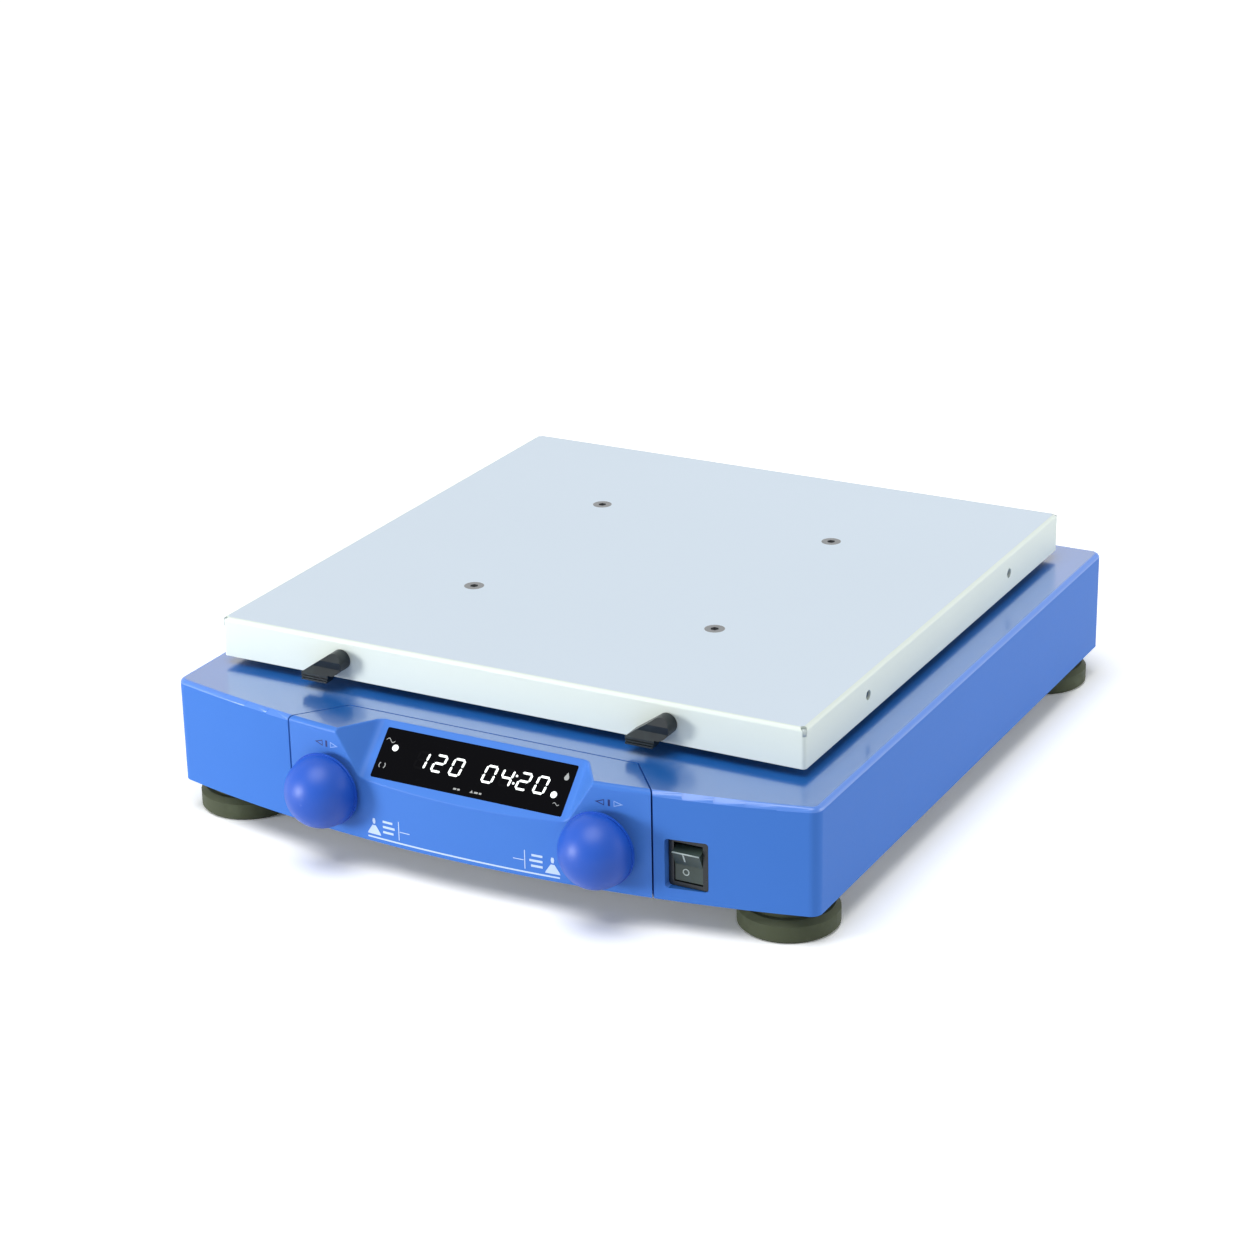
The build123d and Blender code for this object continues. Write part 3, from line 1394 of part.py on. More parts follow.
# Platform, a folded sheet pan with holes in its skirts
with BuildPart() as platform:
    with BuildSketch(Plane.XY.offset(skirt_bottom_z)):
        with Locations((platform_x, platform_y)):
            RectangleRounded(platform_size, platform_size, 2.2)
    extrude(amount=platform_skirt)
    fillet(platform.faces().sort_by(Axis.Z)[-1].edges(), radius=2.0)
    with BuildSketch(Plane.XY.offset(skirt_bottom_z)):
        with Locations((platform_x, platform_y)):
            Rectangle(platform_size - 2 * platform_sheet, platform_size - 2 * platform_sheet)
    extrude(amount=plate_under_z - skirt_bottom_z, mode=Mode.SUBTRACT)
    # relief notch and open seam at each corner
    with BuildSketch(Plane.XY.offset(plate_under_z - 3)):
        with Locations((platform_x, platform_y)):
            with GridLocations(platform_size - 3.2, platform_size - 3.2, 2, 2):
                Circle(1.5)
    extrude(amount=6, mode=Mode.SUBTRACT)
    # the levers' studs need smaller holes in front than the rails on the other three sides
    for radius, y in ((lever_hole_radius, skirt_front_y), (side_hole_radius, skirt_rear_y)):
        with Locations((platform_x, y, side_hole_z)):
            with GridLocations(2 * side_hole_half, 0, 2, 1):
                Cylinder(radius, 4 * platform_sheet, rotation=(90, 0, 0), mode=Mode.SUBTRACT)
    with Locations((platform_x, platform_y, side_hole_z)):
        with GridLocations(0, 2 * side_hole_half, 1, 2):
            Cylinder(side_hole_radius, platform_size + 2, rotation=(0, 90, 0), mode=Mode.SUBTRACT)
    with Locations(*[Location((x, y, platform_top_z)) for x, y in platform_screw_points]):
        Cone(
            screw_seat_radius + 0.05,
            platform_screw_head + 0.05,
            platform_sheet,
            align=(Align.CENTER, Align.CENTER, Align.MAX),
            mode=Mode.SUBTRACT,
        )
platform.part.label = "platform"
export_step(platform.part, "parts/platform.step")

with BuildPart() as platform_screws:
    with Locations(*[Location((x, y, platform_top_z)) for x, y in platform_screw_points]):
        Cone(
            platform_screw_radius,
            platform_screw_head,
            platform_head_depth,
            align=(Align.CENTER, Align.CENTER, Align.MAX),
        )
    with BuildSketch(Plane.XY.offset(carrier_bottom_z - 1)):
        with Locations(*platform_screw_points):
            Circle(platform_screw_radius)
    extrude(amount=platform_top_z - platform_head_depth - carrier_bottom_z + 1)
    with BuildSketch(Plane.XY.offset(platform_top_z - 1.8)):
        with Locations(*platform_screw_points):
            RegularPolygon(2.3, 6)
    extrude(amount=3, mode=Mode.SUBTRACT)
platform_screws.part.label = "platform_screws"
export_step(platform_screws.part, "parts/platform_screws.step")

# Clamp levers on the front skirt
lever_back_y = skirt_front_y - fit_gap
lever_points = [(platform_x - side_hole_half, side_hole_z), (platform_x + side_hole_half, side_hole_z)]
for side, (lx, lz) in zip(("left", "right"), lever_points):
    with BuildPart() as lever_side:
        # profile of the lever seen from its end: hub, sloped top, hollow neck and wing tip
        with BuildSketch(Plane.YZ.offset(lx - 30)):
            with BuildLine():
                Polyline(
                    (lever_back_y, lz + hub_radius + 1),
                    (lever_back_y - lever_reach + 5.6, lz + hub_radius + 1),
                    (lever_back_y - lever_reach + 1.7, lz + 1.8),
                    (lever_back_y - lever_reach + 2.6, lz - 2.2),
                    (lever_back_y - lever_reach, lz - wing_drop + wing_thickness),
                    (lever_back_y - lever_reach, lz - wing_drop),
                    (lever_back_y - lever_reach + 6.2, lz - wing_drop),
                    (lever_back_y - lever_reach + 7.4, lz - hub_radius - 1),
                    (lever_back_y, lz - hub_radius - 1),
                    close=True,
                )
            make_face()
        extrude(amount=60)
    with BuildPart() as lever:
        with BuildSketch(Plane.XZ.offset(-lever_back_y)):
            with Locations((lx, lz)):
                Circle(hub_radius)
            with BuildLine():
                Polyline(
                    (lx - hub_radius * eighth, lz + hub_radius * eighth),
                    (lx - wing_reach, lz - wing_drop + wing_thickness),
                    (lx - wing_reach, lz - wing_drop),
                    (lx - 2.3, lz - wing_drop),
                    (lx - 1.2, lz - hub_radius + 0.3),
                    (lx, lz),
                    close=True,
                )
            make_face()
        extrude(amount=lever_reach)
        add(lever_side.part, mode=Mode.INTERSECT)
        # two finger grooves across the end of the wing
        with BuildSketch(Plane.YZ.offset(lx - 30)):
            with Locations((lever_back_y - lever_reach, lz - wing_drop + wing_thickness / 2)):
                with GridLocations(0, wing_thickness / 3, 1, 2):
                    Rectangle(2 * groove_depth, groove_height)
        extrude(amount=60, mode=Mode.SUBTRACT)
        # blind bore that snaps over the head of the stud
        with BuildSketch(Plane.XZ.offset(-skirt_front_y)):
            with Locations((lx, lz)):
                Circle(lever_neck_radius + running_clearance)
        extrude(amount=lever_neck_length + fit_gap, mode=Mode.SUBTRACT)
        with BuildSketch(Plane.XZ.offset(-skirt_front_y + lever_neck_length)):
            with Locations((lx, lz)):
                Circle(lever_head_radius + lever_head_clearance)
        extrude(amount=lever_head_height + 2 * fit_gap, mode=Mode.SUBTRACT)
    lever.part.label = "clamp_lever_" + side
    export_step(lever.part, "parts/clamp_lever_" + side + ".step")

# headed studs clamped to the skirt by nuts
stud_end_y = skirt_front_y + platform_sheet + lever_nut_height + 1.5
stud_head_y = skirt_front_y - lever_neck_length - fit_gap
with BuildPart() as lever_bolts:
    with BuildSketch(Plane.XZ.offset(-stud_end_y)):
        with Locations(*lever_points):
            Circle(lever_bolt_radius)
    extrude(amount=stud_end_y - skirt_front_y)
    with BuildSketch(Plane.XZ.offset(-skirt_front_y)):
        with Locations(*lever_points):
            Circle(lever_neck_radius)
    extrude(amount=skirt_front_y - stud_head_y)
    with BuildSketch(Plane.XZ.offset(-stud_head_y)):
        with Locations(*lever_points):
            Circle(lever_head_radius)
    extrude(amount=lever_head_height)
lever_bolts.part.label = "lever_bolts"
export_step(lever_bolts.part, "parts/lever_bolts.step")

with BuildPart() as lever_nuts:
    with BuildSketch(Plane.XZ.offset(-skirt_front_y - platform_sheet - lever_nut_height)):
        with Locations(*lever_points):
            RegularPolygon(lever_nut_size, 6)
            Circle(lever_bolt_radius + shaft_fit, mode=Mode.SUBTRACT)
    extrude(amount=lever_nut_height)
lever_nuts.part.label = "lever_nuts"
export_step(lever_nuts.part, "parts/lever_nuts.step")

# Rubber feet and their screws
with BuildPart() as rubber_feet:
    with BuildSketch(Plane.XZ) as foot_section:
        with BuildLine():
            Polyline(
                (0, 0),
                (foot_radius - 1.5, 0),
                (foot_radius, 1.5),
                (foot_radius, foot_disc_height - 2.5),
                (foot_radius - 2.5, foot_disc_height),
                (foot_neck_radius, foot_disc_height),
                (foot_neck_radius, housing_bottom_z),
                (0, housing_bottom_z),
                close=True,
            )
        make_face()
    revolve(axis=Axis.Z)
    with BuildSketch():
        Circle(foot_recess_radius)
    extrude(amount=foot_recess_depth, mode=Mode.SUBTRACT)
    with BuildSketch():
        Circle(foot_screw_radius + 0.2)
    extrude(amount=housing_bottom_z, mode=Mode.SUBTRACT)
with BuildPart() as foot_set:
    with Locations(*[Location((x, y, 0)) for x, y in foot_points]):
        add(rubber_feet.part)
foot_set.part.label = "rubber_feet"
export_step(foot_set.part, "parts/rubber_feet.step")

with BuildPart() as foot_screws:
    with BuildSketch(Plane.XY.offset(foot_recess_depth - foot_screw_head_height)):
        with Locations(*foot_points):
            Circle(foot_screw_head)
    extrude(amount=foot_screw_head_height)
    with BuildSketch(Plane.XY.offset(foot_recess_depth)):
        with Locations(*foot_points):
            Circle(foot_screw_radius)
    extrude(amount=base_top_z + foot_nut_height + 1 - foot_recess_depth)
    with BuildSketch(Plane.XY.offset(foot_recess_depth - foot_screw_head_height)):
        with Locations(*foot_points):
            RegularPolygon(2.3, 6)
    extrude(amount=1.6, mode=Mode.SUBTRACT)
foot_screws.part.label = "foot_screws"
export_step(foot_screws.part, "parts/foot_screws.step")

with BuildPart() as foot_nuts:
    with BuildSketch(Plane.XY.offset(base_top_z)):
        with Locations(*foot_points):
            RegularPolygon(foot_nut_size, 6)
            Circle(foot_screw_radius + shaft_fit, mode=Mode.SUBTRACT)
    extrude(amount=foot_nut_height)
foot_nuts.part.label = "foot_nuts"
export_step(foot_nuts.part, "parts/foot_nuts.step")

# Countersunk screws that hold the base plate to the cover and the panel
with BuildPart() as base_screw:
    Cone(
        base_screw_head,
        base_screw_radius,
        base_screw_head_height,
        align=(Align.CENTER, Align.CENTER, Align.MIN),
    )
    with BuildSketch(Plane.XY.offset(base_screw_head_height)):
        Circle(base_screw_radius)
    extrude(amount=base_screw_length)
    with BuildSketch():
        RegularPolygon(1.6, 6)
    extrude(amount=1.4, mode=Mode.SUBTRACT)
with BuildPart() as base_screws:
    with Locations(*[Location((x, y, housing_bottom_z)) for x, y in cover_boss_points + panel_boss_points]):
        add(base_screw.part)
base_screws.part.label = "base_screws"
export_step(base_screws.part, "parts/base_screws.step")

flange_top_z = base_top_z + mount_flange
frame_screw_seats = (
    [(x, y, flange_top_z) for x, y in post_screw_points + bracket_screw_points]
    + [
        (
            housing_screw_radius * math.cos(math.radians(a)),
            axis_y + housing_screw_radius * math.sin(math.radians(a)),
            flange_top_z,
        )
        for a in (45, 135, 225, 315)
    ]
    + [
        (
            motor_screw_radius * math.cos(math.radians(a)),
            motor_y + motor_screw_radius * math.sin(math.radians(a)),
            motor_top_z + mount_flange,
        )
        for a in (45, 135, 225, 315)
    ]
)
with BuildPart() as frame_screws:
    with Locations(*frame_screw_seats):
        add(button_screw.part)
frame_screws.part.label = "frame_screws"
export_step(frame_screws.part, "parts/frame_screws.step")
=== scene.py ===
import bpy
import bmesh
import math
from mathutils import Matrix, Vector


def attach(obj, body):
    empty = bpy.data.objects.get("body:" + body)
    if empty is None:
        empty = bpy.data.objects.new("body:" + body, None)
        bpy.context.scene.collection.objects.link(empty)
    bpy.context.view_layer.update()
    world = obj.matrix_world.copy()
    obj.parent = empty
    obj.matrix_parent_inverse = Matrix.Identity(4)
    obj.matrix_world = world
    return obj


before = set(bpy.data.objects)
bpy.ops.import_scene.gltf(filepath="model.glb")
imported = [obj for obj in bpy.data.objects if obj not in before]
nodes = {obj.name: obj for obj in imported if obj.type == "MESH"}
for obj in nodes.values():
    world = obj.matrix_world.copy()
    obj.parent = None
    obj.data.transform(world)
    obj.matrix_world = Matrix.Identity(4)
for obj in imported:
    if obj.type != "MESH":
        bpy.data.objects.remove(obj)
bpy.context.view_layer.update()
MM = 0.001
ROOT2 = math.sqrt(0.5)


# helpers for colours and finishes
def srgb(r, g, b):
    """Linear colour from display values of 0 to 255."""
    out = []
    for c in (r, g, b):
        c = c / 255.0
        out.append(c / 12.92 if c <= 0.04045 else ((c + 0.055) / 1.055) ** 2.4)
    return tuple(out)


def shade(rgb, k):
    return tuple(min(1.0, max(0.0, c * k)) for c in rgb)


WEAR_SCALE, WEAR_FROM, WEAR_FULL = 90.0, 0.52, 0.75


def surface(name, rgb, rough=0.4, metallic=0.0, grain=700.0, bump=0.00002, tone=0.06, mottle=14.0,
            rough_spread=0.08, coat=0.0, coat_rough=0.1, coat_ior=1.5, stretch=(1, 1, 1), emission=None,
            wear=None, specular=0.5):
    """Procedural finish: slow tone drift, fine grain in roughness and height, and optional worn patches."""
    m = bpy.data.materials.new(name)
    m.use_nodes = True
    nt = m.node_tree
    bsdf = nt.nodes["Principled BSDF"]
    bsdf.inputs["Metallic"].default_value = metallic
    bsdf.inputs["Coat Weight"].default_value = coat
    bsdf.inputs["Coat Roughness"].default_value = coat_rough
    bsdf.inputs["Coat IOR"].default_value = coat_ior
    bsdf.inputs["Specular IOR Level"].default_value = specular
    coord = nt.nodes.new("ShaderNodeTexCoord")
    mapping = nt.nodes.new("ShaderNodeMapping")
    mapping.inputs["Scale"].default_value = stretch
    nt.links.new(coord.outputs["Object"], mapping.inputs["Vector"])

    slow = nt.nodes.new("ShaderNodeTexNoise")
    slow.inputs["Scale"].default_value = mottle
    slow.inputs["Detail"].default_value = 3.0
    nt.links.new(coord.outputs["Object"], slow.inputs["Vector"])
    fine = nt.nodes.new("ShaderNodeTexNoise")
    fine.inputs["Scale"].default_value = grain
    fine.inputs["Detail"].default_value = 4.0
    fine.inputs["Roughness"].default_value = 0.6
    nt.links.new(mapping.outputs["Vector"], fine.inputs["Vector"])

    blend = nt.nodes.new("ShaderNodeMix")
    blend.data_type = "RGBA"
    blend.inputs["A"].default_value = (*shade(rgb, 1 - tone), 1)
    blend.inputs["B"].default_value = (*shade(rgb, 1 + tone), 1)
    nt.links.new(slow.outputs["Fac"], blend.inputs["Factor"])
    colour = blend.outputs["Result"]
    if wear:
        worn_rgb, amount = wear
        spots = nt.nodes.new("ShaderNodeTexNoise")
        spots.inputs["Scale"].default_value = WEAR_SCALE
        spots.inputs["Detail"].default_value = 6.0
        nt.links.new(coord.outputs["Object"], spots.inputs["Vector"])
        ramp = nt.nodes.new("ShaderNodeMapRange")
        ramp.inputs["From Min"].default_value = WEAR_FROM
        ramp.inputs["From Max"].default_value = WEAR_FULL
        ramp.inputs["To Max"].default_value = amount
        nt.links.new(spots.outputs["Fac"], ramp.inputs["Value"])
        worn = nt.nodes.new("ShaderNodeMix")
        worn.data_type = "RGBA"
        worn.inputs["B"].default_value = (*worn_rgb, 1)
        nt.links.new(colour, worn.inputs["A"])
        nt.links.new(ramp.outputs["Result"], worn.inputs["Factor"])
        colour = worn.outputs["Result"]
    nt.links.new(colour, bsdf.inputs["Base Color"])

    spread = nt.nodes.new("ShaderNodeMapRange")
    spread.inputs["To Min"].default_value = max(0.02, rough - rough_spread)
    spread.inputs["To Max"].default_value = min(1.0, rough + rough_spread)
    nt.links.new(fine.outputs["Fac"], spread.inputs["Value"])
    nt.links.new(spread.outputs["Result"], bsdf.inputs["Roughness"])
    if bump > 0:
        height = nt.nodes.new("ShaderNodeBump")
        height.inputs["Strength"].default_value = 1.0
        height.inputs["Distance"].default_value = bump
        nt.links.new(fine.outputs["Fac"], height.inputs["Height"])
        nt.links.new(height.outputs["Normal"], bsdf.inputs["Normal"])
    if emission:
        glow, strength = emission
        bsdf.inputs["Emission Color"].default_value = (*glow, 1)
        bsdf.inputs["Emission Strength"].default_value = strength
    return m


mats = {}

# blue paint of the housing; its top faces carry painted shade, a darker and greener blue than the walls,
# under a strong coat
BLUE = srgb(72, 125, 211)
TOP_BLUE_PAINTED_SHADE = srgb(30, 104, 188)
mats["housing"] = surface("housing_paint", BLUE, rough=0.38, grain=620, bump=0.000014,
                          tone=0.03, rough_spread=0.05, specular=0.06)
mats["housing_top_painted_shade"] = surface("housing_paint_top_painted_shade", TOP_BLUE_PAINTED_SHADE, rough=0.30, grain=620, bump=0.000010,
                              tone=0.03, rough_spread=0.04, coat=1.0, coat_rough=0.16, coat_ior=2.6)
# painted highlight: a lighter, glossier blue for the rounded edge along the top
mats["housing_edge"] = surface("housing_paint_painted_edge_highlight", shade(BLUE, 1.10), rough=0.32, grain=620,
                               bump=0.000010, tone=0.03, rough_spread=0.04, coat=0.6, coat_rough=0.30)

# blue plastic of the panel and the knobs
mats["panel"] = surface("panel_plastic", shade(BLUE, 1.04), rough=0.36, grain=800, bump=0.000012,
                        tone=0.03, rough_spread=0.05, specular=0.16)
# painted shade: the panel's top faces get the same darker, greener blue as the housing's top
mats["panel_top_painted_shade"] = surface("panel_plastic_top_painted_shade", TOP_BLUE_PAINTED_SHADE, rough=0.30, grain=800, bump=0.000010,
                            tone=0.03, rough_spread=0.04, coat=1.0, coat_rough=0.16, coat_ior=2.6)
mats["knob"] = surface("knob_plastic", srgb(24, 84, 192), rough=0.42, grain=900, bump=0.000006,
                       tone=0.03, rough_spread=0.03)

# smoked window
mats["glass"] = surface("window_glass", srgb(9, 9, 12), rough=0.12, grain=300, bump=0.0,
                        tone=0.05, rough_spread=0.03, specular=0.03)

# satin sheet of the platform, brushed along its skirts, and its corner welds; the deck and its skirts are
# one sheet, and the deck's darker, bluer grey against the paler skirts is painted light
mats["deck"] = surface("deck_satin_metal", srgb(208, 221, 233), rough=0.40, metallic=0.6, grain=260,
                       bump=0.000006, tone=0.015, mottle=5.0, rough_spread=0.06, stretch=(1, 12, 1))
mats["skirt"] = surface("skirt_satin_metal", srgb(222, 231, 224), rough=0.5, metallic=0.1, grain=260,
                        bump=0.000006, tone=0.015, mottle=6.0, rough_spread=0.06, stretch=(1, 1, 12))
mats["weld"] = surface("corner_weld", srgb(176, 186, 186), rough=0.5, metallic=0.4, grain=900,
                       bump=0.00003, tone=0.08)

# castings, plates, turned parts, screws and bearings
mats["carrier"] = surface("cast_aluminium", srgb(168, 172, 176), rough=0.5, metallic=0.9, grain=420,
                          bump=0.00006, tone=0.08)
mats["plate"] = surface("zinc_plate", srgb(150, 155, 160), rough=0.42, metallic=0.85, grain=160,
                        bump=0.00001, tone=0.14, mottle=60.0)
mats["steel"] = surface("turned_steel", srgb(172, 174, 178), rough=0.28, metallic=1.0, grain=900,
                        bump=0.000008, tone=0.05)
mats["screw"] = surface("screw_steel", srgb(196, 198, 200), rough=0.22, metallic=1.0, grain=1500,
                        bump=0.000006, tone=0.06)
mats["dark_screw"] = surface("worn_screw_steel", srgb(138, 140, 142), rough=0.34, metallic=0.9,
                             grain=1500, bump=0.000006, tone=0.10, wear=(srgb(90, 92, 94), 0.5))
mats["bearing"] = surface("bearing_steel", srgb(205, 207, 210), rough=0.15, metallic=1.0, grain=1200,
                          bump=0.0, tone=0.03)

# dark plastic of the levers, rubber of the feet and the belt
mats["lever"] = surface("lever_plastic", srgb(18, 27, 32), rough=0.38, grain=1400, bump=0.00002,
                        tone=0.10, wear=(srgb(60, 78, 80), 0.25), specular=0.4)
mats["rubber"] = surface("foot_rubber", srgb(74, 80, 60), rough=0.6, grain=1100, bump=0.00003,
                         tone=0.10, wear=(srgb(100, 108, 84), 0.35), specular=0.2)
mats["belt"] = surface("belt_rubber", srgb(24, 24, 25), rough=0.7, grain=900, bump=0.00004, tone=0.1)

# bronze, brass and copper
mats["bronze"] = surface("sintered_bronze", srgb(176, 128, 72), rough=0.4, metallic=1.0, grain=1600,
                         bump=0.00002, tone=0.1)
mats["brass"] = surface("contact_brass", srgb(204, 170, 96), rough=0.28, metallic=1.0, grain=900,
                        bump=0.00001, tone=0.06)
mats["copper"] = surface("winding_copper", srgb(184, 100, 56), rough=0.32, metallic=1.0, grain=1400,
                         bump=0.00008, tone=0.15, stretch=(1, 1, 6))

# boards and black mouldings
mats["board"] = surface("board_laminate", srgb(22, 82, 48), rough=0.4, grain=1500, bump=0.00001,
                        tone=0.15, mottle=220.0)
mats["black"] = surface("moulded_black", srgb(28, 29, 31), rough=0.45, grain=1300, bump=0.00002,
                        tone=0.1)

# switch frame, rocker and its signs, and a painted highlight on the rocker's lip
mats["switch"] = surface("switch_black", srgb(20, 26, 30), rough=0.30, grain=1100, bump=0.00001,
                         tone=0.08)
mats["rocker"] = surface("rocker_green_grey", srgb(54, 68, 62), rough=0.34, grain=1100, bump=0.00001,
                         tone=0.08)
mats["rocker_mark"] = surface("rocker_sign_white", srgb(196, 208, 204), rough=0.5, grain=1500,
                              bump=0.0, tone=0.04)
mats["rocker_lip"] = surface("rocker_lip_painted_highlight", srgb(176, 190, 186), rough=0.30, grain=1500,
                             bump=0.000004, tone=0.08)

# printed marks
mats["mark"] = surface("printed_white", srgb(200, 220, 248), rough=0.5, grain=1800, bump=0.000004,
                       tone=0.03)
mats["mark_dark"] = surface("printed_navy", srgb(22, 42, 108), rough=0.5, grain=1800, bump=0.000004,
                            tone=0.05)
mats["mark_soft"] = surface("printed_pale_blue", srgb(142, 178, 238), rough=0.5, grain=1800,
                            bump=0.000004, tone=0.03)

# lit and idle strokes of the display, and the signs behind its window
mats["lit"] = surface("lit_segment", srgb(238, 242, 240), rough=0.5, grain=900, bump=0.0,
                      tone=0.02, emission=(srgb(238, 244, 240), 0.75))
mats["dim"] = surface("dim_segment", srgb(9, 9, 12), rough=0.4, grain=900, bump=0.0, tone=0.05,
                      specular=0.03)
mats["icon"] = surface("window_print", srgb(150, 152, 150), rough=0.5, grain=900, bump=0.0,
                       tone=0.05, emission=(srgb(150, 152, 150), 0.25))

# which node wears which finish
finish_of = {
    "housing": ["housing_cover"],
    "panel": ["control_panel"],
    "knob": ["knob_left", "knob_right"],
    "glass": ["display_window"],
    "deck": ["platform"],
    "carrier": ["table_carrier", "driven_pulley", "motor_pulley"],
    "plate": ["base_plate"],
    "steel": ["encoder_bodies", "main_bearing_housing", "motor_stator", "motor_bracket", "motor_rotor",
              "idler_posts", "drive_crank", "counterweight", "idler_crank_front_left",
              "idler_crank_front_right", "idler_crank_rear_left", "idler_crank_rear_right"],
    "screw": ["encoder_nuts", "inlet_pins", "frame_screws", "base_screws", "foot_screws", "foot_nuts",
              "crank_screws", "crank_pin_screw", "lever_bolts", "lever_nuts"],
    "dark_screw": ["platform_screws"],
    "bearing": ["main_bearing_outer_rings", "main_bearing_inner_rings", "pin_bearing_inner_ring",
                "pin_bearing_outer_ring"],
    "lever": ["clamp_lever_left", "clamp_lever_right"],
    "rubber": ["rubber_feet"],
    "belt": ["drive_belt"],
    "bronze": ["idler_lower_bushes", "idler_upper_bushes"],
    "brass": ["switch_terminals", "board_pillars", "encoder_shaft_left", "encoder_shaft_right"],
    "copper": ["motor_windings"],
    "board": ["display_board", "control_board", "power_board"],
    "black": ["digit_modules", "inlet_body", "control_board_parts", "power_board_parts"],
    "switch": ["switch_body"],
    "rocker": ["switch_rocker"],
}
for key, names in finish_of.items():
    for node_name in names:
        dressed = nodes[node_name].data
        dressed.materials.clear()
        dressed.materials.append(mats[key])
unfinished = sorted(set(nodes) - {n for names in finish_of.values() for n in names})
assert not unfinished, unfinished

# soft edges shade smoothly, folds above the limit stay crisp
SHARP_FOLD = math.radians(40)
for o in nodes.values():
    for p in o.data.polygons:
        p.use_smooth = True
    o.data.set_sharp_from_angle(angle=SHARP_FOLD)
    even = o.modifiers.new("even_shading", "WEIGHTED_NORMAL")
    even.keep_sharp = True

# a second finish on the faces that look up, or on the folded sides of the platform; on the housing and the
# panel the top finish is painted shade
LOOKS_UP, EDGE_TILT = 0.999, 0.12
for name, key, up_gets_it in (("platform", "skirt", False), ("housing_cover", "housing_top_painted_shade", True),
                              ("control_panel", "panel_top_painted_shade", True)):
    mesh = nodes[name].data
    mesh.materials.append(mats[key])
    for p in mesh.polygons:
        looks_up = p.normal.z > LOOKS_UP
        p.material_index = int(looks_up == up_gets_it)

# painted highlight: a lighter, glossier blue on the rounded edge between the walls and the top of the
# housing
cover = nodes["housing_cover"].data
cover.materials.append(mats["housing_edge"])
for p in cover.polygons:
    if EDGE_TILT < p.normal.z < LOOKS_UP:
        p.material_index = len(cover.materials) - 1


# the housing's front in mm: its bow, and the top line of the sloped display facet
HALF_WIDTH, BOW_RISE, BOW_FRONT_Y = 180.0, 23.0, -190.0
BOW_RADIUS = (HALF_WIDTH**2 + BOW_RISE**2) / (2 * BOW_RISE)
BOW_CENTRE_Y = BOW_FRONT_Y + BOW_RADIUS
FACET_TOP_Y, FACET_TOP_Z = -165.0, 72.5

# prints start this far above their surface, and end at one of these heights
LOW = 0.01
IDLE_INK, THIN_INK, INK, LINE_INK = 0.03, 0.05, 0.06, 0.07


def front(x, z, lift):
    """Point on the bowed front, x and z in mm, lifted outwards."""
    a = math.asin(x / BOW_RADIUS)
    r = BOW_RADIUS + lift
    return Vector((r * math.sin(a), BOW_CENTRE_Y - r * math.cos(a), z)) * MM


def facet(x, drop, lift):
    """Point on the sloped display facet, drop measured down the slope from its top line."""
    y = FACET_TOP_Y - drop * ROOT2 - lift * ROOT2
    z = FACET_TOP_Z - drop * ROOT2 + lift * ROOT2
    return Vector((x, y, z)) * MM


def piece(name, bm, material, body, smooth=False):
    """Turns a bmesh into a named object that rides on a body."""
    bmesh.ops.recalc_face_normals(bm, faces=bm.faces)
    mesh = bpy.data.meshes.new(name)
    bm.to_mesh(mesh)
    bm.free()
    for p in mesh.polygons:
        p.use_smooth = smooth
    mesh.materials.append(material)
    o = bpy.data.objects.new(name, mesh)
    bpy.context.scene.collection.objects.link(o)
    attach(o, body)
    return o


def inlay(bm, outline, place, low, high, step=0.0):
    """A thin raised print: outline is a closed polygon in surface coordinates, place maps it into space."""
    pts = []
    for i, (x0, y0) in enumerate(outline):
        x1, y1 = outline[(i + 1) % len(outline)]
        n = max(1, int(math.ceil(abs(x1 - x0) / step))) if step else 1
        for k in range(n):
            pts.append((x0 + (x1 - x0) * k / n, y0 + (y1 - y0) * k / n))
    top = [bm.verts.new(place(x, y, high)) for x, y in pts]
    bottom = [bm.verts.new(place(x, y, low)) for x, y in pts]
    bm.faces.new(top)
    bm.faces.new(list(reversed(bottom)))
    for i in range(len(pts)):
        j = (i + 1) % len(pts)
        bm.faces.new((top[i], bottom[i], bottom[j], top[j]))


def strip(bm, x0, x1, y, half, place, low, high, step=3.0):
    """A straight printed line along x, built in short spans so that it follows the bow."""
    n = max(1, int(math.ceil((x1 - x0) / step)))
    rows = []
    for k in range(n + 1):
        x = x0 + (x1 - x0) * k / n
        corners = ((y - half, low), (y - half, high), (y + half, high), (y + half, low))
        rows.append([bm.verts.new(place(x, edge, lift)) for edge, lift in corners])
    for a, b in zip(rows, rows[1:]):
        for i in range(4):
            j = (i + 1) % 4
            bm.faces.new((a[i], b[i], b[j], a[j]))
    bm.faces.new(rows[0])
    bm.faces.new(list(reversed(rows[-1])))


def disc(cx, cy, r, n=28):
    """Outline of a circle."""
    angles = [2 * math.pi * k / n for k in range(n)]
    return [(cx + r * math.cos(a), cy + r * math.sin(a)) for a in angles]


def bar(x0, x1, y0, y1):
    """Outline of a rectangle."""
    return [(x0, y0), (x1, y0), (x1, y1), (x0, y1)]


def shifted(outline, dx):
    """The same outline, moved along x."""
    return [(dx + x, y) for x, y in outline]


def loop_band(bm, outer, inner, place, low, high):
    """A closed printed outline between two polygons with the same number of points."""
    rings = []
    for pts, lift in ((outer, low), (outer, high), (inner, high), (inner, low)):
        rings.append([bm.verts.new(place(x, y, lift)) for x, y in pts])
    n = len(outer)
    for a, b in zip(rings, rings[1:] + rings[:1]):
        for i in range(n):
            j = (i + 1) % n
            bm.faces.new((a[i], a[j], b[j], b[i]))


# seven-segment display
SEGMENTS = {
    "0": "abcdef", "1": "bc", "2": "abged", "3": "abgcd", "4": "fgbc", "5": "afgcd",
    "6": "afgedc", "7": "abc", "8": "abcdefg", "9": "abcdfg",
}


